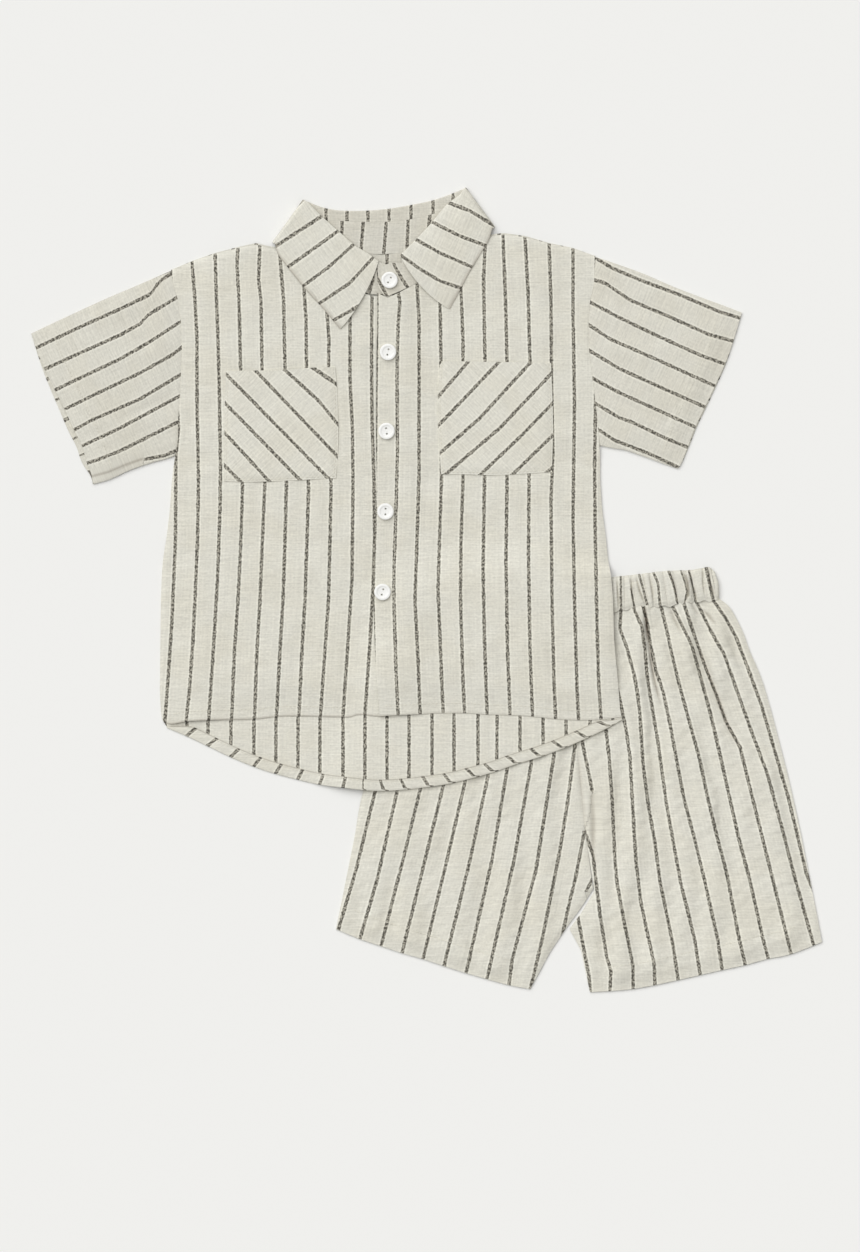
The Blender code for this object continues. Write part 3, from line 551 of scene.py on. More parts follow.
for side, stripes in (("left", LEFT_LEG_STRIPES), ("right", RIGHT_LEG_STRIPES)):
    plan = between(*LEG_EDGES[side], np.linspace(0, 1, 131), np.linspace(0, 1, 190))
    to_waist, to_hem, to_left, to_right = [reach_from(plan, line) for line in LEG_EDGES[side]]
    passed = stripes_passed(plan, stripes)
    in_hiding = np.all((plan > HIDING_FOLD[0]) & (plan < HIDING_FOLD[1]), axis=-1)
    in_seam = np.all(plan > SEAM_TAKES, axis=-1) & (side == "left")
    passed = np.where(in_hiding | in_seam, np.floor(passed) + 0.5, passed)
    # The narrow folds of each leg's front get painted shade
    lift, painted_shade = folds(plan, LEG_FOLDS)
    to_side = np.minimum(to_left, to_right)
    to_centre = reach_from(plan, CENTRE_SEAM)
    edge = ease(to_side / SEAM_ROLL)
    groove = np.maximum(edge, 1 - GROOVE_DEPTH * bell(to_centre, GROOVE_WIDTH))
    edge = np.where(to_centre < to_side + 1.0, groove, edge)
    swell = ease(to_side / 40) * ease(to_waist / 60) * LEG_PUFF
    height = LEG_LEVEL - (LEG_LEVEL - SEAM_LEVEL) * (1 - edge) + swell + lift * ease(to_side / 5)
    height += sum(tall * swells(plan, *kind) for tall, *kind in LEG_SWELLS) * ease(to_side / 20)
    height += puckers(to_hem, HEM_OF_LEG, plan[..., 0], 8)
    gathered = sum(np.sin(2 * np.pi * (plan[..., 0] + 3 * k) / size) for k, size in enumerate(TOP_WAVES))
    height += 0.3 * gathered * bell(to_waist, 7) - 0.5 * bell(to_waist, 2.5)
    near_hem = ease(to_hem * PIXEL / HEM_SETTLES)
    height = height * near_hem + LEG_HEM_LEVEL * (1 - near_hem)
    height = np.where(plan[..., 0] < SHIRT_SIDE, np.minimum(height, HIGHEST_UNDER_SHIRT), height)
    height = np.maximum(height, SEAM_LEVEL)
    strip = hem_strip(to_hem, HEM_OF_LEG)
    front = cloth_piece(f"shorts_front_{side}_cloth", plan, height, passed, painted_shade, strip)
    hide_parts(f"shorts_front_{side}")
    back = cloth_piece(f"shorts_back_{side}_cloth", plan[:, ::-2], BACK_LEVEL, passed[:, ::-2] + 0.5)
    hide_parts(f"shorts_back_{side}")


# Waistband. A casing of the same cloth drawn up by elastic, its upper and lower
# layers one ring, sewn to the legs with a puckered seam.

BAND_TOP = (
    (417, 604), (490, 593), (566, 584), (613, 577), (640, 574), (665, 571), (690, 570), (705, 567.5),
    (710, 567.5), (713.5, 571),
)
BAND_LOW = (
    (420, 634), (494, 625), (569, 617), (613, 612), (622, 610), (645, 607), (670, 606), (680, 604),
    (695, 601.5), (711, 601), (717, 600),
)
BAND_LEFT_END = ((417, 604), (419, 618), (420, 634))
BAND_RIGHT_END = ((713.5, 571), (716.5, 582), (717, 600))
BAND_STRIPES = (
    ((606, 579), (607, 610)), ((621, 579), (621, 610)), ((629, 579), (634.5, 608)),
    ((639, 575), (646, 600)),
    ((654, 574), (658, 583), (660, 607)), ((669, 572), (674, 586), (677, 599)),
    ((681, 571), (685, 582), (687, 592), (684, 604)), ((688.5, 571), (692, 585), (695, 600)),
    ((706, 568), (708, 577), (713, 600)), ((731, 568), (736, 600)),
)
# Valleys between the gathers of the band, at its top and its bottom
BAND_VALLEYS = (
    ((598, 580), (600, 612)), ((611, 578), (612, 612)), ((624.5, 576), (625, 611)),
    ((633, 575), (636, 609)),
    ((643, 574), (650, 608)), ((650, 573), (656, 607)), ((663, 572), (668, 606)), ((673, 571), (680, 604)),
    ((686, 570), (690, 602)), ((692, 570), (697, 601)), ((703, 569), (708, 600)), ((711, 568), (717, 600)),
)
# Sharp creases of the gathers, as on the legs
BAND_FOLDS = (
    (0.8, 1.3, (617, 578), (618, 595), (619, 610)), (0.7, 1.3, (631, 577), (632, 592), (634, 607)),
    (0.8, 1.2, (636, 577), (640, 592), (646, 606)), (0.7, 1.0, (649, 574), (652, 590), (654, 606)),
    (0.8, 1.5, (671, 572), (675, 588), (678, 602)), (0.9, 1.4, (683, 571), (688, 583), (689, 594),
    (685, 603)),
    (1.1, -1.3, (686.5, 570), (690.5, 585), (691, 601)), (0.8, 1.8, (690, 571), (692, 585), (697, 600)),
    (0.9, 1.6, (709, 569), (710, 582), (715, 598)), (0.7, 0.9, (703, 569), (703, 583), (705, 596)),
)
# The gathers hide the upper part of one stripe, between these two corners
BAND_HIDES = ((624, 570), (637, 588))
BAND_BASE = 2.7
BAND_RIDGE = 1.7

# Level in mm of the band's lower layer, and of the deepest valley of its upper one
BAND_LOWER_LEVEL = 0.7
LOWEST_GATHER = 1.6
# Width of each valley between the gathers as a share of a gather, and how dark the painted shade is in the
# valleys and in the sharp creases
VALLEY_WIDTH = 0.10
VALLEY_SHADE, CREASE_SHADE = 0.06, 0.9

band_edges = (rounded(BAND_TOP), rounded(BAND_LOW), BAND_LEFT_END, BAND_RIGHT_END)
across = np.linspace(0, 1, 420)
plan = between(*band_edges, across, np.linspace(0, 1, 33))
from_top, from_low = reach_from(plan, band_edges[0]), reach_from(plan, band_edges[1])
gather = stripes_passed(plan, BAND_VALLEYS, keeps=0.0)
share = gather - np.floor(gather)
sizes = np.random.default_rng(12).uniform(0.55, 1.0, 60)
sizes = sizes[np.clip(np.floor(gather).astype(int) + 40, 0, 59)]
ridge = np.sqrt(np.clip(1 - (2 * share - 1) ** 2, 0, 1)) * sizes
valley = bell(np.minimum(share, 1 - share), VALLEY_WIDTH)
upper = BAND_BASE + BAND_RIDGE * ridge * (0.55 + 0.45 * ease(from_low / 14)) - 0.9 * (1 - ease(from_low / 5))
upper -= 1.3 * (1 - ease(from_top / 4)) * (1 - 0.4 * ridge)
crease, painted_crease_shade = folds(plan, BAND_FOLDS)
upper = np.maximum(upper + 1.4 * crease, LOWEST_GATHER)
# The band's two edges waver with the gathers
wobble = 0.9 * np.sin(2 * np.pi * gather + 0.6) * ease(1 - from_low / 12)
plan[..., 1] += wobble - 0.8 * (ridge - 0.7) * (1 - ease(from_top / 10))
passed = stripes_passed(plan, BAND_STRIPES, keeps=0.35)
in_hiding = np.all((plan > BAND_HIDES[0]) & (plan < BAND_HIDES[1]), axis=-1)
passed = np.where(in_hiding, np.floor(passed) + 0.5, passed)


def turned_ends(front, back, steps=6):
    """A flattened ring of two layers, each given as its places, heights and stripes passed:
    the upper layer, a round turn, the lower layer back again, and a round turn."""
    made = [front]
    seam = [layer[:, :1] for layer in front]
    for leaving, arriving, follows in ((front, back, back), (back, front, seam)):
        outward = leaving[0][:, -1] - leaving[0][:, -2]
        outward = outward / np.linalg.norm(outward, axis=-1, keepdims=True)
        radius = np.abs(leaving[1][:, -1] - arriving[1][:, 0]) / 2
        for step in range(1, steps):
            angle = np.pi * step / steps
            share = (1 - np.cos(angle)) / 2
            turn = [a[:, -1] * (1 - share) + b[:, 0] * share for a, b in zip(leaving, arriving)]
            turn[0] = turn[0] + outward * (radius * np.sin(angle) / PIXEL)[:, None]
            made.append([layer[:, None] for layer in turn])
        made.append(follows)
    return [np.concatenate(layers, axis=1) for layers in zip(*made)]


lower = np.full(plan[:, ::-6].shape[:2], BAND_LOWER_LEVEL)
ring, ring_height, ring_passed = turned_ends((plan, upper, passed), (plan[:, ::-6], lower, passed[:, ::-6]))
# Painted shade in the valleys between the gathers and in the sharp creases
painted_band_shade = np.zeros(ring_height.shape)
painted_band_shade[:, :len(across)] = np.maximum(VALLEY_SHADE * valley * ease(from_top / 6), CREASE_SHADE * painted_crease_shade)
waistband = cloth_piece(
    "waistband_cloth", ring, ring_height, ring_passed, painted_band_shade, grain=(0.2, 0.98), closed=True,
)
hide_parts("waistband")


# Back of the shirt. One panel, longer than the fronts, its hem turned up 8 mm
# on the inside. It lies on the shorts, and on the fall of the collar.

BODY_SIDES = (
    (256, 169, 595), (270, 171, 594.5), (285, 174, 594), (300, 178, 590), (320, 181, 588.5),
    (350, 182, 589), (375, 181, 592), (400, 180, 595), (420, 178, 597.5), (440, 178, 599),
    (457, 175, 600), (480, 172, 600), (510, 170, 602), (535, 167, 605.5), (560, 163, 608),
    (575, 162, 611), (600, 161, 613), (640, 160.5, 614), (695, 160, 619), (710, 161, 620),
    (719, 162, 622), (727, 167, 622),
)
LEFT_SHOULDER = ((171, 270), (192, 261), (215, 253), (238, 247), (256, 243), (268, 246), (290, 249))
LEFT_NECK_POINT = (316, 241)
RIGHT_NECK_POINT = (458, 231)
RIGHT_SHOULDER = ((480, 236), (503, 233), (525, 236), (549, 243), (573, 248), (595, 256))
NECK_BACK = ((331, 246.8), (350, 252.8), (382, 254.8), (415, 251.8), (437.5, 242.8))
BACK_HEM = (
    (167, 727), (188, 736), (209, 746), (232, 757), (254, 766), (275, 773), (298, 779),
    (320, 784), (342, 787), (370, 790), (390, 790), (410, 788.5), (430, 786), (450, 783),
    (472, 777.5), (494, 771.5), (515, 764), (541, 756), (565, 747), (590, 736), (610, 726), (622, 719),
)
BACK_STRIPES = tuple(
    ((top, 500), (low, 725), (low + (low - top) * 0.4, 790))
    for top, low in (
        (165, 165), (187, 187), (209, 208), (232, 231), (255, 254), (277, 276), (298.5, 298),
        (320.5, 320), (343, 343),
        (365.5, 365), (387, 387), (409, 409), (432, 432), (454, 454), (478, 478), (498, 497), (520, 520),
        (542, 543),
        (564, 566), (587, 590), (609, 613),
    )
)
COLLAR_UNDER = (
    (276, 244), (302, 262), (342, 271), (382, 274), (424, 268), (462, 253), (491, 229), (463, 191),
    (438, 201), (412, 207),
    (380, 212), (345, 213), (324, 210), (306, 203),
)
# How far the back is lifted, in mm, and over how many pixels it comes down beside what lifts it
OVER_BAND, OVER_LEGS, OVER_COLLAR = 5.1, 4.2, 1.3
SHORTS_REACH = (45.0, 12.0)
COLLAR_REACH = (20.0, 30.0)
HEM_TURN_UP = 8.2
shorts_outline = [*BAND_TOP, *RIGHT_OUTSEAM, *RIGHT_LEG_HEM[::-1], *LEFT_LEG_HEM[::-1], *LEFT_OUTSEAM[::-1]]


def back_rise(places):
    """Height in mm of the shirt's back above the surface, over the shorts and the collar's fall."""
    over = np.interp(places[..., 1], (640.0, 700.0), (OVER_BAND, OVER_LEGS))
    runs_out = np.interp(places[..., 0], (540.0, 604.0), SHORTS_REACH)
    from_shorts = reach_from(places, shorts_outline, closed=True)
    on_shorts = over * ease(1 - (from_shorts - runs_out / 4) / runs_out)
    from_collar = reach_from(places, COLLAR_UNDER, closed=True)
    on_collar = OVER_COLLAR * ease(1 - (from_collar - COLLAR_REACH[0]) / COLLAR_REACH[1])
    return np.maximum(on_shorts, on_collar)


def side_line(column, start, end):
    """One side of the shirt's body as points between its two end levels."""
    table = np.array(BODY_SIDES, float)
    levels = np.linspace(start, end, 60)
    return np.stack([np.interp(levels, table[:, 0], table[:, column]), levels], axis=-1)


TURN_RADIUS = 0.33
# Share of the turned-up width at which it is stitched, and how deep the stitches pull it
HEM_STITCHED, HEM_PULLED = 0.82, 0.35
# Right of this the stripes of the turned-up strip have slipped to the left, by so many pixels
SLIPS_FROM, SLIPS = 358, (3.5, 3.2)

steps = np.linspace(0, 1, 150)
back_top = [*LEFT_SHOULDER, LEFT_NECK_POINT, *NECK_BACK, RIGHT_NECK_POINT, *RIGHT_SHOULDER]
back_plan = between(back_top, rounded(BACK_HEM), side_line(1, 270, 727), side_line(2, 256, 719), steps, steps)
back_height = back_rise(back_plan) + BACK_LEVEL
hem_row = back_plan[-1]
tangent = np.gradient(hem_row, axis=0)
tangent /= np.linalg.norm(tangent, axis=-1, keepdims=True)
inward = np.stack([tangent[:, 1], -tangent[:, 0]], axis=-1)
full = ease(np.minimum(hem_row[:, 0] - 162, 627 - hem_row[:, 0]) / 30)
# The inside is in shade in the neck and in the lower left corner
x, y = back_plan[..., 0], back_plan[..., 1]
in_neck = np.exp(-(((x - 388) / 45) ** 2) - ((y - 262) / 22) ** 2)
in_corner = np.exp(-(((x - 183) / 13) ** 2) - ((y - 729) / 7) ** 2)
plans, heights, counts = [back_plan], [back_height], [stripes_passed(back_plan, BACK_STRIPES)]
# Painted shade: in the neck and the lower left corner, none on the turn, and a dark line along the top edge
# of the turned-up strip
shades = [0.14 * in_neck + 0.22 * in_corner, np.zeros((13, 150)), np.full((1, 150), 0.35)]
for angle in np.pi * np.arange(1, 7) / 6:
    plans.append((hem_row - inward * (TURN_RADIUS * np.sin(angle) / PIXEL))[None])
    heights.append((back_height[-1] + TURN_RADIUS * (1 - np.cos(angle)))[None])
    counts.append(stripes_passed(hem_row, BACK_STRIPES)[None])
for share in np.linspace(0.1, 1, 8):
    offset = inward * (HEM_TURN_UP / PIXEL * share * full)[:, None]
    mirrored = 2 * np.sum(tangent * offset, axis=-1, keepdims=True) * tangent - offset
    place = hem_row + offset
    plans.append(place[None])
    stitched = HEM_PULLED * bell(share - HEM_STITCHED, 0.12)
    edge = back_rise(place) + BACK_LEVEL + 2 * TURN_RADIUS + 0.35 * share - stitched
    edge += 0.12 * np.sin(place[:, 0] / 3.1) * share + 0.1 * np.sin(place[:, 0] / 7.3 + 1)
    heights.append(edge[None])
    slipped = (SLIPS[0] + SLIPS[1] * share) * ease((hem_row[:, 0] - SLIPS_FROM) / 8)
    counts.append(stripes_passed(hem_row + mirrored + slipped[:, None] * (1.0, 0.0), BACK_STRIPES)[None])
layers = [np.concatenate(found) for found in (plans, heights, counts, shades)]
shirt_back = cloth_piece("shirt_back_cloth", *layers)
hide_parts("shirt_back")


# Fronts of the shirt. Two panels with hemmed lower edges. The viewer's right
# one laps over the left one, its edge folded under and stitched as a placket.

NECK_FRONT_LEFT = ((323.6, 255), (336.5, 272), (353.6, 284.6), (372, 292.2), (397, 290.4))
NECK_FRONT_RIGHT = ((377, 289), (388, 294), (399.4, 288.8), (415, 280.8), (432, 266), (445, 248.6))
TOP_FRONT_EDGE = (
    (377, 293), (377.5, 310), (377, 330), (376.5, 350), (376, 400), (376, 450), (377, 480), (376, 510),
    (376, 540),
    (374.5, 560), (373.5, 600), (374, 620), (375, 650), (377, 680), (379, 705), (379.5, 716),
)
UNDER_FRONT_EDGE = ((397, 295), (397, 500), (395, 600), (398, 715))
FRONT_HEM_LEFT = (
    (163.7, 722), (172, 724), (186, 721.5), (210, 720), (232, 719.5), (256, 719), (278, 716.5),
    (300, 716), (340, 717), (350, 717),
    (360, 714.5), (380, 716.5), (398, 715),
)
FRONT_HEM_RIGHT = (
    (379.5, 716), (398, 715), (420, 714), (440, 713), (465, 713), (488, 714.5), (510, 715), (533, 716.5),
    (556, 719),
    (578, 720), (600, 719.5), (621, 717),
)
LEFT_FRONT_STRIPES = (
    ((177, 400), (178.5, 430), (176, 455), (175.5, 540), (172, 620), (170, 650), (168, 680), (165, 720)),
    ((192, 262), (195, 300), (197, 340), (197, 400), (198.5, 480), (197.5, 540), (195, 600), (193, 640),
     (189.5, 690), (186, 722)),
    ((215, 254), (216.5, 300), (218, 340), (219.5, 400), (220.5, 470), (220, 510), (217.5, 580),
     (214, 640), (210, 700)),
    ((238, 248), (237, 265), (239, 300), (240.5, 365), (242.5, 490), (240.5, 550), (238, 600),
     (234.5, 650), (232, 710)),
    ((260, 243), (258.5, 280), (261, 300), (262, 365), (265, 480), (262, 550), (260, 600), (257, 650),
     (254.5, 718)),
    ((281, 270), (283.5, 300), (285, 368), (286.5, 480), (285, 540), (283, 600), (280, 650), (276.5, 716)),
    ((304, 288), (306, 320), (306.5, 366), (308.5, 490), (307, 540), (305, 600), (302, 650), (299, 716)),
    ((327, 312), (329, 340), (328.5, 365), (331, 490), (330, 540), (328.5, 600), (325, 650), (320.5, 716)),
    ((350, 320), (350, 380), (352.5, 430), (353, 490), (352, 580), (347.5, 650), (343, 716)),
    ((372, 295), (371.5, 350), (372, 420), (374, 480), (374.5, 540), (373, 590), (369.5, 650), (365, 714)),
    ((394, 295), (394, 420), (396, 540), (392, 650), (387, 714)),
)
RIGHT_FRONT_STRIPES = (
    ((377, 297), (376, 400), (375, 520), (373, 600), (375, 712)),
    ((399, 297), (400, 302), (398, 325), (397, 380), (397.5, 450), (396, 510), (394, 570), (394, 600),
     (396, 670), (398, 712)),
    ((417, 285), (419, 320), (419, 400), (419, 475), (417, 540), (415, 600), (418, 660), (420, 712)),
    ((440, 302), (441, 360), (441.5, 480), (439.5, 540), (438, 590), (440.5, 650), (443, 710)),
    ((461, 290), (463, 340), (463, 480), (461, 540), (460.5, 600), (463, 680), (464.5, 712)),
    ((485, 247), (483.5, 280), (485, 360), (484.5, 480), (483, 570), (484.5, 640), (487, 712)),
    ((503, 235), (505.5, 300), (507, 362), (507, 480), (506, 560), (507.5, 650), (510, 713)),
    ((525, 238), (528, 290), (530, 362), (529, 480), (528.5, 560), (530, 650), (532.5, 714)),
    ((549, 243), (551, 300), (551.5, 380), (553, 450), (551, 500), (552, 600), (554, 680), (555.5, 716)),
    ((573, 249), (573, 310), (574.5, 400), (573, 520), (574.5, 600), (577, 690), (578.5, 718)),
    ((596, 300), (595.5, 400), (594.5, 470), (595, 520), (596.5, 600), (598.5, 680), (601, 718)),
    ((618, 300), (617, 520), (619, 600), (624, 718)),
)
COLLAR_TOP_LEFT = ((340, 328), (331, 317), (302, 283), (279, 253), (309, 206), (339, 234), (378, 262))
COLLAR_TOP_RIGHT = ((487, 240), (468, 272), (450, 308), (401, 256), (432, 225), (460, 197))
FRONT_UNDER_COLLAR = 3.1
FRONT_LAP = 1.7
LAP_REACH = (402.0, 432.0)
BODY_PUFF = 1.3
PUFF_REACH = 60.0
FRONT_HEM = 9.0
FRONT_ROWS = np.concatenate([np.linspace(0, 0.992, 162), [0.995, 0.998, 1.0]])
FRONT_SETTLES = 26.0
ON_BACK = 0.75
HEM_LIFT = 1.6
HEM_LIFT_AT = 200.0
BODY_FOLDS = (
    (7.0, -0.5, (178, 452), (205, 436), (232, 428)),
    (5.0, 0.5, (174, 470), (200, 462), (225, 462)),
    (7.0, -0.5, (598, 452), (570, 436), (545, 430)),
    (5.0, 0.5, (600, 470), (575, 462), (550, 464)),
    (9.0, -0.5, (200, 520), (196, 600), (200, 680)),
    (9.0, 0.4, (252, 500), (248, 600), (243, 700)),
    (8.0, -0.4, (590, 540), (594, 620), (600, 700)),
    (7.0, 0.4, (548, 520), (552, 600), (556, 700)),
    (6.0, 0.5, (232, 300), (236, 335), (238, 368)),
    (7.0, -0.5, (204, 290), (208, 350), (206, 420)),
    (4.0, 0.4, (352, 300), (356, 350), (355, 420)),
    (7.0, 0.4, (566, 290), (562, 350), (564, 420)),
    (6.0, -0.5, (430, 500), (428, 590), (432, 680)),
    (6.0, 0.4, (470, 500), (472, 590), (476, 690)),
)


def front_rise(places):
    """Height in mm of the underside of the shirt's fronts, with the air that lifts them off the back."""
    table = np.array(BODY_SIDES, float)
    left = places[..., 0] - np.interp(places[..., 1], table[:, 0], table[:, 1])
    right = np.interp(places[..., 1], table[:, 0], table[:, 2]) - places[..., 0]
    free = back_rise(places) + 1.8 + BODY_PUFF * ease(np.minimum(left, right) / PUFF_REACH)
    reach = [reach_from(places, outline, closed=True) for outline in (COLLAR_TOP_LEFT, COLLAR_TOP_RIGHT)]
    held = ease(1 - (np.minimum(*reach) - COLLAR_REACH[0]) / COLLAR_REACH[1])
    return free * (1 - held) + np.maximum(FRONT_UNDER_COLLAR, back_rise(places) + 1.3) * held


def lap(places):
    """Lift of the right front and collar where they lie over the left front."""
    full, end = LAP_REACH
    return FRONT_LAP * ease((end - places[..., 0]) / (end - full))


# The armhole ends and the side seam starts between these two levels
SIDE_SEAM_FROM, ARMHOLE_TO = 455, 460
# Depths in mm: rolled seams, the line along the armhole, the neck's edge under the collar's stand
SEAM_DROP, ARMHOLE_LINE, NECK_LINE = 1.1, 0.15, 0.5
PLACKET_WIDTH = 17.0
# How dark the painted shade along each front's lower edge is
HEM_SHADES = {"left": 0.85, "right": 0.35}
FRONT_SWELLS = ((0.28, 45, 3), (0.12, 16, 9))


def front_panel(side, top, hem_line, left, right, stripes, shoulder, neck):
    """One front, sewn along its outer side; its inner side is its edge at the buttons."""
    hem_line = rounded(hem_line)
    seam, edge = (left, right) if side == "left" else (right, left)
    plan = between(top, hem_line, left, right, np.linspace(0, 1, 84), FRONT_ROWS)
    side_seam, armhole = seam[seam[:, 1] > SIDE_SEAM_FROM], seam[seam[:, 1] <= ARMHOLE_TO]
    lines = (hem_line, edge, side_seam, armhole, shoulder, neck)
    to_hem, to_edge, to_seam, to_armhole, to_shoulder, to_neck = [reach_from(plan, line) for line in lines]
    lifted = lap(plan) if side == "right" else 0.0
    lift, painted_shade = folds(plan, BODY_FOLDS)
    lift = lift + sum(tall * swells(plan, *kind) for tall, *kind in FRONT_SWELLS)
    calm = ease(np.minimum(to_seam, to_armhole) / 14)
    height = front_rise(plan) + 0.5 + lifted + lift * calm
    height -= SEAM_DROP * (2 - ease(to_seam / SEAM_ROLL) - ease(to_shoulder / SEAM_ROLL))
    height -= ARMHOLE_LINE * bell(to_armhole, 1.3) + NECK_LINE * bell(to_neck, 1.0)
    near_hem = ease(to_hem * PIXEL / FRONT_SETTLES)
    on_back = back_rise(plan) + BACK_LEVEL + ON_BACK + lifted
    on_back += HEM_LIFT * bell(plan[..., 0] - HEM_LIFT_AT, 26)
    height = height * near_hem + on_back * (1 - near_hem)
    height += puckers(to_hem, FRONT_HEM, plan[..., 0], 14) - 0.25 * bell(to_hem * PIXEL, 0.7)
    # Painted shade in the narrow folds and along the lower edge
    painted_shade = np.maximum(painted_shade, HEM_SHADES[side] * bell(to_hem * PIXEL, 0.8))
    strips = hem_strip(to_hem, FRONT_HEM)
    if side == "right":
        strips = np.maximum(strips, hem_strip(to_edge, PLACKET_WIDTH))
    passed = stripes_passed(plan, stripes)
    front = cloth_piece(f"shirt_front_{side}_cloth", plan, height, passed, painted_shade * 0.5, strips)
    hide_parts(f"shirt_front_{side}")
    return front, plan


front_left, left_plan = front_panel(
    "left", [*LEFT_SHOULDER, LEFT_NECK_POINT, *NECK_FRONT_LEFT], FRONT_HEM_LEFT,
    side_line(1, 270, 722), UNDER_FRONT_EDGE, LEFT_FRONT_STRIPES, LEFT_SHOULDER, NECK_FRONT_LEFT,
)
front_right, right_plan = front_panel(
    "right", [*NECK_FRONT_RIGHT, RIGHT_NECK_POINT, *RIGHT_SHOULDER], FRONT_HEM_RIGHT,
    TOP_FRONT_EDGE, side_line(2, 256, 717), RIGHT_FRONT_STRIPES, RIGHT_SHOULDER, NECK_FRONT_RIGHT,
)


# Patch pockets, cut on the bias so that their stripes slant, edges turned in
# and stitched down on three sides, the top edge hemmed and open.

POCKETS = {
    "left": (
        ((226, 371), (255, 370.5), (285, 370), (306, 368), (335, 367)),
        ((335, 367), (337, 390), (338, 420), (338, 450), (336, 478)),
        ((224, 481), (250, 482), (300, 480), (336, 478)), ((226, 371), (225, 400), (224, 470), (224, 481)),
        (
            ((224, 465), (240, 481)), ((224, 432), (268, 480)), ((224, 402), (300, 480)),
            ((225, 373), (328, 478)),
            ((255, 370), (337, 456)), ((285, 370), (318, 400), (337, 423)), ((313, 368), (335, 383)),
        ),
        (0.707, 0.707),
    ),
    "right": (
        ((440, 361), (470, 361.5), (500, 362), (530, 362.5), (551, 363)),
        ((551, 363), (553, 420), (552, 472)),
        ((441, 474), (470, 474.5), (500, 475), (552, 472)),
        ((440, 361), (438, 395), (438, 425), (441, 474)),
        (
            ((438, 397), (468, 362)), ((439, 425), (498, 363)), ((439, 454), (480, 418), (530, 363)),
            ((446, 474), (500, 428), (550, 375)), ((480, 475), (520, 437), (551, 405)),
            ((512, 475), (551, 437)),
            ((545, 474), (551, 469)),
        ),
        (0.707, -0.707),
    ),
}
# In mm: height of a pocket above the front, and its puff
ON_FRONT, POCKET_PUFF = 1.1, 0.75
POCKET_TURNED_IN, POCKET_STITCHED, POCKET_HEM = 5.0, 1.8, 14.0

for side, (top, right, bottom, left, stripes, grain) in POCKETS.items():
    steps = np.linspace(0, 1, 64)
    top, right, bottom, left = [rounded(line) for line in (top, right, bottom, left)]
    plan = between(top, bottom, left, right, steps, steps)
    sewn = np.minimum.reduce([reach_from(plan, line) for line in (right, bottom, left)])
    height = front_rise(plan) + ON_FRONT + POCKET_PUFF * ease(sewn / 9) + 0.12 * swells(plan, 24, 31)
    height -= 0.25 * bell(sewn * PIXEL - POCKET_STITCHED, 0.6)
    turned_in = 0.8 * (1 - ease((sewn * PIXEL - POCKET_TURNED_IN) / 2))
    strips = np.maximum(turned_in, hem_strip(reach_from(plan, top), POCKET_HEM))
    passed = stripes_passed(plan, stripes, axis=1)
    pocket = cloth_piece(f"pocket_{side}_cloth", plan, height, passed, hem=strips, grain=grain)
    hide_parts(f"pocket_{side}")


# Sleeves. Each is one piece folded along its top and sewn along its underside,
# open at both ends, its cuff hemmed, set along the armhole of the body.

LEFT_SLEEVE_TOP = ((170, 270), (135, 286), (100, 301), (31, 333))
LEFT_SLEEVE_CUFF = (
    (31, 333), (36, 348), (45, 370), (55, 390), (65, 410), (74, 430), (82, 446), (87, 463), (91.5, 475),
    (93, 485),
)
LEFT_SLEEVE_UNDER = ((174, 459), (165, 460), (150, 464), (130, 471), (110, 480), (93, 485))
RIGHT_SLEEVE_TOP = ((596, 256), (640, 272), (680, 289), (742, 312))
RIGHT_SLEEVE_CUFF = (
    (742, 312), (733, 342), (725, 364), (715, 386), (705, 407), (695, 428), (687, 449), (681, 464),
    (677, 469),
)
RIGHT_SLEEVE_UNDER = ((602, 452), (612, 449), (625, 451), (640, 456), (660, 463), (677, 469))
LEFT_SLEEVE_STRIPES = (
    ((36, 348), (80, 327), (120, 309), (150, 294.5), (153, 291), (156, 286), (162, 279.5), (170, 274.5)),
    ((45, 369), (80, 353), (120, 335), (140, 324), (148, 315), (176, 298)),
    ((55, 390), (80, 378), (120, 359), (148, 343), (180, 322)),
    ((65, 409), (100, 392), (140, 373), (172, 355), (181, 348)),
    ((74, 430), (92, 420), (140, 399), (180, 375)),
    ((82, 446), (120, 428), (178, 397)),
    ((87, 463), (97, 460), (120, 451), (172, 425)),
    ((97, 477), (125, 467), (144, 459.5), (165, 455.5), (173, 452)),
)
RIGHT_SLEEVE_STRIPES = (
    ((597, 259), (612, 268), (640, 280), (680, 295), (720, 312), (740, 318)),
    ((594, 280), (605, 283), (630, 300), (670, 317), (710, 335), (733, 341)),
    ((590, 302), (620, 318), (660, 337), (700, 355), (725, 364)),
    ((589, 325), (610, 339), (660, 361), (715, 386)),
    ((590, 351), (620, 369), (660, 387), (705, 407)),
    ((592, 378), (620, 393), (660, 411), (695, 427)),
    ((598, 405), (620, 418), (632, 422), (665, 438), (687, 447)),
    ((602, 432), (614, 440), (650, 454), (680, 468)),
)
SLEEVE_FOLDS = (
    (0.9, 1.8, (151, 293), (156, 287), (163, 280), (170, 275)),
    (6.0, 0.7, (172, 300), (140, 318), (104, 330)),
    (7.0, -0.6, (176, 340), (140, 356), (100, 366)),
    (5.0, 0.6, (176, 404), (150, 408), (118, 420)),
    (3.0, 0.9, (172, 448), (150, 457), (118, 466)),
    (0.6, 0.7, (90, 478), (118, 470), (142, 460), (160, 457)),
    (5.0, 0.7, (596, 290), (630, 306), (668, 318)),
    (7.0, -0.6, (592, 340), (630, 352), (670, 366)),
    (5.0, 0.6, (598, 396), (630, 404), (664, 420)),
    (2.2, 1.0, (604, 444), (614, 447), (628, 449)),
)
SLEEVE_PUFF = 1.5
CUFF_HEM = 18.0
# Painted shade laid evenly over each sleeve
SLEEVE_SHADE = 0.05
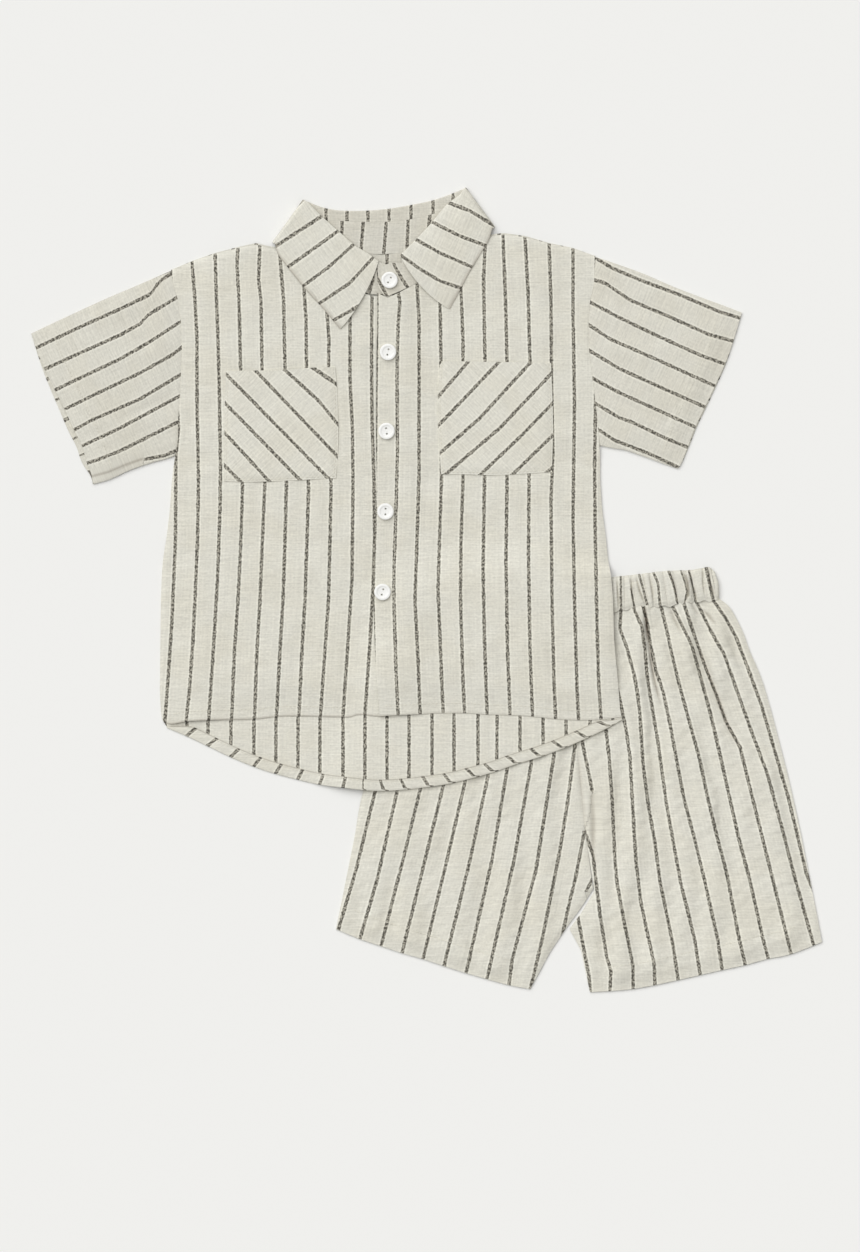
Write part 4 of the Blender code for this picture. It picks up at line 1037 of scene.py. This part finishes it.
# The underarm seam of the left sleeve takes in its last stripe left of this
STRIPE_HIDES = 143.0
UNDERARM_SEAM = ((91, 476.5), (108, 472), (126, 464.5), (142, 459))
ARMHOLE_END = 0.417


# Levels in mm: at a sleeve's folded edges, above them inside, and at its cuff
SLEEVE_EDGE, SLEEVE_RISE, CUFF_LEVEL = 1.5, 0.8, 1.2
# How far the round edges of a sleeve stand out past its layers
EDGE_ROUND = 1.1
BESIDE_ARMHOLE = 0.7
# Painted shade along the underarm seam
UNDERARM_SHADE = 0.4


def sleeve(side, armhole, top, cuff, under, stripes, grain, peek, shift):
    """One sleeve. Peek is how far its lower layer shows past the cuff, and shift sets its stripes apart."""
    down = np.concatenate([np.linspace(0, 0.8, 54), np.linspace(0.81, 1, 28)])
    out = np.linspace(0, 1, 66)
    top, cuff, under = rounded([armhole[0], *top[1:]]), rounded(cuff), rounded([armhole[-1], *under[1:]])
    front = between(armhole, cuff, top, under, down, out)
    to_fold = reach_from(front, top)
    for column, beside in ((0, 1), (-1, -2)):
        inward = front[:, beside] - front[:, column]
        front[:, column] += EDGE_ROUND / PIXEL * inward / np.linalg.norm(inward, axis=-1, keepdims=True)
    to_cuff, to_armhole = reach_from(front, cuff), reach_from(front, armhole)
    fullness = np.sin(np.pi * down)[None] * (0.35 + 0.65 * np.sin(np.pi * out * 0.9))[:, None]
    lift, painted_shade = folds(front, SLEEVE_FOLDS)
    calm = (ease(4 * down) * ease(4 * (1 - down)))[None] * ease(to_armhole / 12)
    to_edge = np.minimum(to_fold, reach_from(front, under))
    upper = SLEEVE_EDGE + SLEEVE_RISE * ease(to_edge / 14) + SLEEVE_PUFF * (fullness * ease(to_armhole / 25))
    upper += (lift + 0.25 * swells(front, 34, 41)) * calm - 0.6 * bell(to_armhole, 1.6)
    upper += puckers(to_cuff, CUFF_HEM, front[..., 1], 43) * calm
    settled = ease(to_cuff * PIXEL / 16)
    upper = upper * settled + CUFF_LEVEL * (1 - settled)
    passed = stripes_passed(front, stripes, axis=1)
    last = len(stripes) - 1.5
    under_seam = (front[..., 0] < STRIPE_HIDES) & (passed > last) & (side == "left")
    passed = np.where(under_seam, last, passed)
    peeks = (ease(out) ** 2)[:, None] * (ease(1.7 * down) * ease(5 * (1 - down)))[None]
    back = (front + np.array(peek) * peeks[..., None])[:, ::-1]
    lower = np.full(upper.shape, BACK_LEVEL)
    plan, height, counts = turned_ends((front, upper, passed), (back, lower, shift - passed[:, ::-1]))
    # Painted shade: a little all over, more in the narrow folds and along the underarm seam
    strip, deep = np.zeros(height.shape), np.full(height.shape, SLEEVE_SHADE)
    strip[:, :len(down)] = hem_strip(to_cuff, CUFF_HEM)
    sewn = bell(reach_from(front, UNDERARM_SEAM), 1.2)
    deep[:, :len(down)] += np.maximum(painted_shade * 0.6, UNDERARM_SHADE * sewn)
    made = cloth_piece(f"sleeve_{side}_cloth", plan, height, counts, deep, strip, grain, closed=True)
    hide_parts(f"sleeve_{side}")
    return made


armhole_rows = FRONT_ROWS <= ARMHOLE_END
sleeve_left = sleeve(
    "left", left_plan[armhole_rows, 0] + (BESIDE_ARMHOLE, 0.0), LEFT_SLEEVE_TOP, LEFT_SLEEVE_CUFF,
    LEFT_SLEEVE_UNDER, LEFT_SLEEVE_STRIPES, (-0.91, 0.41), (-5.0, 2.0), 0.45,
)
sleeve_right = sleeve(
    "right", right_plan[armhole_rows, -1] - (BESIDE_ARMHOLE, 0.0), RIGHT_SLEEVE_TOP, RIGHT_SLEEVE_CUFF,
    RIGHT_SLEEVE_UNDER, RIGHT_SLEEVE_STRIPES, (0.91, 0.41), (1.0, 0.5), -0.4,
)


# Collar. A stand sewn round the neck, and a leaf sewn to the stand, which rolls
# over and falls outside it. Its two points lie on the fronts.

# One row per station: turn, lower stand x, y, leaf seam x, y, roll x, y, leaf edge x, y
LEFT_FRONT_COLLAR = (
    (396, 292, 392, 266, 378, 262, 340, 329), (372, 294, 371, 264, 367, 254, 331, 318),
    (353, 286, 356, 256, 354, 246, 319, 304), (336, 273, 340, 246, 339, 233, 302, 285),
    (324, 257, 325, 231, 322, 218, 286, 265), (317, 241, 312, 219, 309, 205, 278, 254),
)
BACK_COLLAR = (
    (331, 246, 328, 221, 324, 209, 302, 262), (350, 252, 345, 221, 345, 212, 342, 271),
    (382, 254, 380, 222, 380, 211, 382, 274), (415, 251, 412, 219, 412, 206, 424, 268),
    (437, 242, 436, 213, 438, 200, 462, 253),
)
RIGHT_FRONT_COLLAR = (
    (456, 234, 459, 208, 460, 196, 488, 241), (446, 250, 446, 220, 447, 206, 479, 256),
    (433, 268, 430, 236, 432, 224, 469, 273), (416, 283, 416, 252, 416, 241, 461, 288),
    (400, 291, 402, 264, 401, 256, 450, 309),
)
COLLAR_SIDES = ((317, 238, 310, 217, 305, 202, 275, 244), (457, 229, 461, 205, 464, 190, 492, 229))
STAND_END = ((388, 296, 393, 263), (384, 295, 387, 264), (379, 288, 381, 267))
COLLAR_OUTWARD = ((-0.82, -0.57), (0.80, -0.60))
LEAF_FRONT_BOW = ((3.7, 2.1), (-4.2, 4.0))
COLLAR_MIDDLE, COLLAR_INNER, COLLAR_OUTER, COLLAR_BULGE = 2.7, 0.9, 2.2, 1.4
LEFT_LEAF_STRIPES = (
    ((290, 213), (303, 200)), ((273, 248), (322, 216)), ((288, 267), (338, 231)),
    ((303, 286), (330, 266), (353, 245)),
    ((320, 303), (350, 283), (371, 260)), ((334, 320), (357, 307)),
)
RIGHT_LEAF_STRIPES = (
    ((466, 187), (471, 192)), ((449, 203), (470, 211), (496, 227)), ((432, 222), (460, 236), (484, 245)),
    ((415, 239), (440, 253), (472, 267)), ((399, 254), (420, 269), (440, 281), (461, 288)),
    ((385, 272), (405, 291), (430, 307), (452, 317)),
)
LEFT_LEAF_WAY, RIGHT_LEAF_WAY = (0.82, -0.57), (0.91, 0.41)
NECK_STRIPES = tuple(((x, 200), (x, 222)) for x in (326, 347, 368, 389, 411, 433, 453))
STAND_STRIPES = (
    ((321, 225), (321, 250)), ((342, 225), (341, 250)), ((363, 225), (361, 250)), ((386, 225), (384, 250)),
    ((408, 225), (407, 250)), ((430, 215), (429, 225)), ((451, 215), (450, 225)),
)
STAND_FRONT_STRIPES = (
    ((355, 277), (352, 290)), ((374, 277), (370, 290)), ((376, 270), (376, 276), (388, 298)),
    ((393, 262), (397, 271), (408, 288)),
    ((413, 262), (417, 271), (428, 288)),
)
STEPS_BETWEEN = 7
ON_NECK_EDGE = 0.4
# Painted shade inside the neck: on all of the stand, and on the leaf where it turns under
NECK_SHADE = 0.12


def finer(values):
    """Values between the collar's stations, on a smooth line through them."""
    flat = np.asarray(values, float).reshape(len(values), -1)
    return rounded(flat, STEPS_BETWEEN).reshape(-1, *np.shape(values)[1:])


turn_angles = np.linspace(0, np.pi, 6)
stations = [(0.0, 0, row) for row in LEFT_FRONT_COLLAR]
stations += [(angle, 0, COLLAR_SIDES[0]) for angle in turn_angles]
stations += [(np.pi, 0, row) for row in BACK_COLLAR]
stations += [(angle, 1, COLLAR_SIDES[1]) for angle in turn_angles[::-1]]
stations += [(0.0, 1, row) for row in RIGHT_FRONT_COLLAR]
bow = np.zeros((len(stations), 2))
for step, share in enumerate((1.0, 0.35, 0.08)):
    bow[step] = np.array(LEAF_FRONT_BOW[0]) * share
    bow[-1 - step] = np.array(LEAF_FRONT_BOW[1]) * share
steps_along = np.linspace(0, len(stations) - 1, (len(stations) - 1) * STEPS_BETWEEN + 1)
angles = np.interp(steps_along, np.arange(len(stations)), [angle for angle, _, _ in stations])
outward = finer([COLLAR_OUTWARD[side] for _, side, _ in stations])
places = finer([np.array(row, float).reshape(4, 2) for _, _, row in stations])
bow = finer(bow)
low, seam, roll, leaf_edge = (places[:, i] for i in range(4))
on_top = ease((np.cos(angles) - 0.9) / 0.1)
on_right = steps_along >= len(LEFT_FRONT_COLLAR) + len(turn_angles) + len(BACK_COLLAR) + 2.5


def turned_round(spots, radius):
    """Places on a band that turns round the neck: on top where its angle is 0, beneath at half a turn."""
    spot = spots + outward * (radius * np.sin(angles) / PIXEL)[..., None]
    return spot, COLLAR_MIDDLE + radius * np.cos(angles)


fall = leaf_edge - roll
fall_up = -fall / np.linalg.norm(fall, axis=-1, keepdims=True)
roll_radius = (COLLAR_OUTER - COLLAR_INNER) / 2
# Rows of the leaf: places, height in mm out from the collar's middle, bulge, share of the fall
rows = [(seam * (1 - s) + roll * s, COLLAR_INNER, 0.0, 0.0) for s in np.linspace(0, 0.95, 8)]
for angle in np.pi * np.arange(9) / 8:
    reach = fall_up * (roll_radius * np.sin(angle) / PIXEL)
    rows.append((roll + reach, COLLAR_INNER + roll_radius * (1 - np.cos(angle)), 0.0, 0.0))
for s in np.linspace(0.03, 1, 34):
    bend = bow * np.sin(np.pi * s) ** 0.7 if s < 1 else 0.0
    rows.append((roll + fall * s + bend, COLLAR_OUTER, COLLAR_BULGE * np.sin(np.pi * s ** 0.7), s))
plans, heights, counts = [], [], []
for spots, radius, bulge, share in rows:
    place, level = turned_round(spots, radius)
    level = level + bulge * on_top - 0.35 * on_top * ease((share - 0.85) / 0.15)
    level = level + np.where(on_right, lap(place) * on_top, 0.0)
    plans.append(place)
    heights.append(level)
    left_count = stripes_passed(place, LEFT_LEAF_STRIPES, axis=1)
    right_count = stripes_passed(place, RIGHT_LEAF_STRIPES, axis=1)
    front_count = np.where(steps_along < len(stations) / 2, left_count, right_count)
    counts.append(np.where(np.cos(angles) > -0.5, front_count, stripes_passed(place, NECK_STRIPES)))
plans, heights, counts = np.stack(plans), np.stack(heights), np.stack(counts)
heights += 0.12 * swells(plans, 22, 51) * on_top
heights += 0.03 * (np.cos(angles) < -0.5)
at_neck = ease((0.5 - np.cos(angles)) / 0.6)[:, None]
leaf_way = np.where(on_right[:, None], RIGHT_LEAF_WAY, LEFT_LEAF_WAY)
leaf_way = leaf_way * (1 - at_neck) + np.array((0.0, 1.0)) * at_neck
from_edge = np.array([share for _, _, _, share in rows])[:, None]
# Painted shade: a dark line along the outer edge of the leaf's fall
painted_edge_shade = 0.45 * ease((from_edge - 0.95) / 0.05) * on_top
leaf_shade = np.maximum(NECK_SHADE * at_neck.T, painted_edge_shade)
leaf = cloth_piece("collar_leaf_cloth", plans, heights, counts, leaf_shade, 0.5, leaf_way)
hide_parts("collar_leaf")

stand_end = rounded(np.array(STAND_END, float), STEPS_BETWEEN).reshape(-1, 2, 2)
stand_low = np.concatenate([low, stand_end[:, 0]])
stand_top = np.concatenate([seam - (low - seam) * 0.03, stand_end[:, 1]])
angles = np.concatenate([angles, np.zeros(len(stand_end))])
outward = np.concatenate([outward, np.tile(COLLAR_OUTWARD[1], (len(stand_end), 1))])
stand_right = np.concatenate([on_right, np.ones(len(stand_end), bool)])
in_front = np.cos(angles) > 0.9
plans, heights, counts = [], [], []
for share in [*np.linspace(0, 0.971, 16), 1.0]:
    place, level = turned_round(stand_low * (1 - share) + stand_top * share, COLLAR_INNER)
    plans.append(place)
    sewn_over = np.where(in_front, ON_NECK_EDGE, -0.5 * (share == 1))
    heights.append(level + sewn_over + np.where(stand_right & in_front, lap(place), 0.0))
    outside = stripes_passed(place, STAND_FRONT_STRIPES)
    counts.append(np.where(np.cos(angles) > -0.5, outside, stripes_passed(place, STAND_STRIPES)))
plans, heights, counts = np.stack(plans), np.stack(heights), np.stack(counts)
stand = cloth_piece("collar_stand_cloth", plans, heights, counts, NECK_SHADE)
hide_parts("collar_stand")


# Buttons. Five of white pressed plastic with two holes and a raised rim, each
# sewn on with a bar of thread between its holes.

BUTTONS = ((389.5, 280), (388, 352), (386.5, 431), (385.5, 511.5), (382.5, 592))
BUTTON_RADIUS = 6.5
BUTTON_THICKNESS = 2.3
HOLE_RADIUS = 0.74
HOLE_SPACING = 4.3
# How far each is turned on its thread, in degrees clockwise
BUTTON_TURNS = (31, 12, -8, 2, 16)


# Section of a button from under its rim to its dished face: shares of its radius and thickness
BUTTON_PROFILE = (
    (0.8, 0.0), (0.94, 0.12), (0.99, 0.35), (1.0, 0.6), (0.99, 0.82), (0.96, 0.95), (0.9, 1.0),
    (0.72, 0.99),
    (0.64, 0.95), (0.61, 0.86), (0.5, 0.83), (0.1, 0.82),
)
BUTTON_FACE = 0.82
# A turn sharper than this, in radians, is an edge of a button
BUTTON_EDGE = 0.7
THREAD_SIDES = 6


def one_colour(name, colour, settings):
    """A material with one colour all over."""
    material = bpy.data.materials.new(name)
    material.use_nodes = True
    surface = material.node_tree.nodes["Principled BSDF"]
    surface.inputs["Base Color"].default_value = linear_colour(colour)
    for setting, value in settings.items():
        surface.inputs[setting].default_value = value
    return material


def polished_polyester():
    """Button plastic, white and polished: it gives a bright, soft gloss."""
    return one_colour("white_polyester_polished", "F1F1EE", {"Roughness": 0.22, "IOR": 1.54})


def spun_thread(tone, colour):
    """Sewing thread of spun polyester, matt. Undyed it is a little paler than the cloth,
    bleached it is white."""
    return one_colour(f"{tone}_polyester_thread_spun", colour, {"Roughness": 0.75})


def to_mm(place):
    """Millimetres from the middle of the set, for a place in the photo."""
    return np.array(((place[0] - PHOTO_CENTRE[0]) * PIXEL, (PHOTO_CENTRE[1] - place[1]) * PIXEL))


def tree_of(piece):
    """The surface of a piece, ready to be searched."""
    return BVHTree.FromObject(piece, bpy.context.evaluated_depsgraph_get())


def ground_at(place, pieces):
    """Highest point in mm of these pieces at a place in the photo."""
    above = Vector((*(to_mm(place) * MILLIMETRE), 0.1))
    return max((tree.ray_cast(above, Vector((0, 0, -1)))[0] or Vector()).z for tree in pieces) / MILLIMETRE


def lathe(profile, sides):
    """Points and faces of a profile of (radius, height) turned about Z."""
    turn = np.linspace(0, 2 * np.pi, sides, endpoint=False)
    points = [(r * np.cos(a), r * np.sin(a), z) for r, z in profile for a in turn]
    faces = []
    for ring in range(len(profile) - 1):
        for side in range(sides):
            a, b = ring * sides + side, ring * sides + (side + 1) % sides
            faces.append((a, b, b + sides, a + sides))
    faces.append(tuple(range(sides))[::-1])
    faces.append(tuple((len(profile) - 1) * sides + side for side in range(sides)))
    return points, faces


def mesh_object(name, points, faces, material, smooth=True):
    """A piece from its points in metres and its faces."""
    mesh = bpy.data.meshes.new(name)
    mesh.from_pydata([tuple(point) for point in points], [], faces)
    mesh.polygons.foreach_set("use_smooth", [smooth] * len(faces))
    mesh.materials.append(material)
    made = bpy.data.objects.new(name, mesh)
    bpy.context.scene.collection.objects.link(made)
    return made


thread_points, thread_faces = [], []


def stitch(start, end, radius=0.2, bow=0.12):
    """Adds one stitch between two points in mm: a short round bar that rises in its middle."""
    start, end = np.array(start, float), np.array(end, float)
    span = end - start
    side = np.cross(span, (0, 0, 1.0))
    side /= np.linalg.norm(side)
    first = len(thread_points)
    ways = [(np.cos(a), np.sin(a)) for a in np.linspace(0, 2 * np.pi, THREAD_SIDES, endpoint=False)]
    rings = ((0.0, -0.25, 0.7), (0.18, 0.0, 1.0), (0.5, bow, 1.0), (0.82, 0.0, 1.0), (1.0, -0.25, 0.7))
    for share, rise, size in rings:
        centre = start + span * share + np.array((0, 0, rise))
        thread_points.extend(centre + radius * size * (side * c + np.array((0, 0, s))) for c, s in ways)
    around = range(THREAD_SIDES)
    last = first + (len(rings) - 1) * THREAD_SIDES
    for ring in range(first, last, THREAD_SIDES):
        for k in around:
            a, b = ring + k, ring + (k + 1) % THREAD_SIDES
            thread_faces.append((a, b, b + THREAD_SIDES, a + THREAD_SIDES))
    thread_faces.append(tuple(first + k for k in around)[::-1])
    thread_faces.append(tuple(last + k for k in around))


def sew(line, pieces, pitch=3.0, gap=0.7):
    """A row of stitches along a line in the photo, laid on the highest of the pieces."""
    line = rounded(line)
    length = np.linalg.norm(np.diff(line, axis=0), axis=1).sum() * PIXEL
    for number in range(max(int(length / pitch), 1)):
        ends = along(line, np.array([number * pitch, (number + 1) * pitch - gap]) / length)
        stitch(*[(*to_mm(end), ground_at(end, pieces) + 0.1) for end in ends])


def thread_object(name, material):
    """Makes the stitches added so far one piece, and starts a new set."""
    made = mesh_object(name, [point * MILLIMETRE for point in thread_points], thread_faces, material)
    thread_points.clear()
    thread_faces.clear()
    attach(made, "root")


button_plastic = polished_polyester()
supports = [tree_of(front_right), tree_of(stand)]
section = [(r * BUTTON_RADIUS, t * BUTTON_THICKNESS) for r, t in BUTTON_PROFILE]
button_points, button_faces = lathe(section, 48)
hole_points, hole_faces = lathe(((HOLE_RADIUS, -1.0), (HOLE_RADIUS, 4.0)), 20)
for number, (place, turn) in enumerate(zip(BUTTONS, BUTTON_TURNS), start=1):
    around = [(place[0] + dx, place[1] + dy) for dx in (-6, 0, 6) for dy in (-6, 0, 6)]
    level = max(ground_at(spot, supports) for spot in around) + 0.15
    shell = np.array(button_points) * MILLIMETRE
    made = mesh_object(f"button_{number}_shell", shell, button_faces, button_plastic)
    cut_points, cut_faces = [], []
    for side in (-1, 1):
        cut_faces += [tuple(i + len(cut_points) for i in face) for face in hole_faces]
        cut_points += [np.array((x, y + side * HOLE_SPACING / 2, z)) * MILLIMETRE for x, y, z in hole_points]
    cutter = mesh_object(f"button_{number}_cutter", cut_points, cut_faces, button_plastic, smooth=False)
    for piece in (made, cutter):
        piece.location = (*(to_mm(place) * MILLIMETRE), level * MILLIMETRE)
        piece.rotation_euler.z = -np.radians(turn)
    holes = made.modifiers.new("holes", "BOOLEAN")
    holes.object = cutter
    holes.solver = "EXACT"
    bpy.context.view_layer.update()
    cut = bpy.data.meshes.new_from_object(made.evaluated_get(bpy.context.evaluated_depsgraph_get()))
    made.modifiers.clear()
    made.data = cut
    bpy.data.objects.remove(cutter, do_unlink=True)
    cut.shade_smooth()
    cut.set_sharp_from_angle(angle=BUTTON_EDGE)
    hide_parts(f"button_{number}")
    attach(made, "root")
    x, y = to_mm(place)
    way = np.array((np.sin(np.radians(turn)), np.cos(np.radians(turn)))) * (HOLE_SPACING / 2 - 0.25)
    on_face = level + BUTTON_THICKNESS * BUTTON_FACE - 0.05
    for dx in (-0.16, 0.16):
        ends = [(x + dx + way[0] * sign, y + way[1] * sign, on_face) for sign in (-1, 1)]
        stitch(*ends, 0.11, 0.03)
thread_object("button_thread", spun_thread("bleached", "F2F1EC"))


# Stitching of the shirt and of the shorts: short stitches of undyed thread on
# the hems, the placket, the pockets and the cuffs.

PLACKET_LINE = (
    (397, 303), (397, 380), (397.5, 450), (396, 510), (394, 570), (394, 600), (396, 670), (398, 706),
)


def shifted(line, distance):
    """The line moved sideways by a distance in mm, to its left as it runs."""
    line = rounded(line)
    way = np.gradient(line, axis=0)
    way /= np.linalg.norm(way, axis=-1, keepdims=True)
    return line + np.stack([way[:, 1], -way[:, 0]], axis=-1) * distance / PIXEL


left_cloth, right_cloth = [tree_of(front_left)], [tree_of(front_right)]
sew(shifted(FRONT_HEM_LEFT, 7.5)[8:-14:3], left_cloth)
sew(shifted(FRONT_HEM_RIGHT, 7.5)[2:-6:3], right_cloth)
sew(PLACKET_LINE, right_cloth)
for side in ("left", "right"):
    top, right, bottom, left, _, _ = POCKETS[side]
    on = [tree_of(bpy.data.objects[f"pocket_{side}_cloth"])]
    sew(shifted(right, -POCKET_STITCHED)[::3], on)
    sew(shifted(bottom, POCKET_STITCHED)[::3], on)
    sew(shifted(left, POCKET_STITCHED)[::3], on)
sew(shifted(BACK_HEM, 6.6)[12:-12:3], [tree_of(shirt_back)])
sew(shifted(LEFT_SLEEVE_CUFF, 16.5)[4:-4:3], [tree_of(sleeve_left)])
sew(shifted(RIGHT_SLEEVE_CUFF, -16.5)[4:-4:3], [tree_of(sleeve_right)])
undyed_thread = spun_thread("undyed", "E0DDD0")
thread_object("shirt_stitching", undyed_thread)
legs = [tree_of(bpy.data.objects[f"shorts_front_{side}_cloth"]) for side in ("left", "right")]
sew(shifted(LEFT_LEG_HEM, 19.0)[2:-6:3], legs[:1])
sew(shifted(RIGHT_LEG_HEM, 19.0)[6:-2:3], legs[1:])
thread_object("shorts_stitching", undyed_thread)


# Surface, light and camera: a matt white table top, a large soft light from
# above the shoulders, and a camera that looks straight down.

# Reach and level of the table top in metres; strength, spread in radians and side of the light;
# strength of the light from all round; size of the photo in its pixels
TABLE_REACH, TABLE_LEVEL = 4, -0.0002
WINDOW_STRENGTH, WINDOW_SPREAD, WINDOW_SIDE = 2.35, 1.2, (-0.42, 0.56, 1.0)
ROOM_STRENGTH = 0.385
PHOTO_SIZE = (860, 1252)
CAMERA_HEIGHT = 2.0


def painted_board():
    """Table top, white matt paint: even and almost without gloss."""
    return one_colour("white_board_matt_paint", "F0F0EE", {"Roughness": 0.8, "Specular IOR Level": 0.2})


corners = [(x * TABLE_REACH, y * TABLE_REACH, TABLE_LEVEL) for x, y in ((-1, -1), (1, -1), (1, 1), (-1, 1))]
floor = mesh_object("table_top", corners, [(0, 1, 2, 3)], painted_board(), smooth=False)

sky = bpy.data.lights.new("window_light", "SUN")
sky.energy = WINDOW_STRENGTH
sky.angle = WINDOW_SPREAD
lamp = bpy.data.objects.new("window_light", sky)
lamp.rotation_euler = Vector(WINDOW_SIDE).to_track_quat("Z", "Y").to_euler()
bpy.context.scene.collection.objects.link(lamp)

world = bpy.data.worlds.new("pale_room")
world.use_nodes = True
world.node_tree.nodes["Background"].inputs["Color"].default_value = linear_colour("FFFEFC")
world.node_tree.nodes["Background"].inputs["Strength"].default_value = ROOM_STRENGTH
bpy.context.scene.world = world
bpy.context.scene.view_settings.view_transform = "Standard"

camera = bpy.data.cameras.new("camera")
camera.type = "ORTHO"
camera.ortho_scale = PHOTO_SIZE[1] * PIXEL * MILLIMETRE
viewer = bpy.data.objects.new("camera", camera)
viewer.location = (*(to_mm(np.array(PHOTO_SIZE) / 2) * MILLIMETRE), CAMERA_HEIGHT)
bpy.context.scene.collection.objects.link(viewer)
bpy.context.scene.camera = viewer
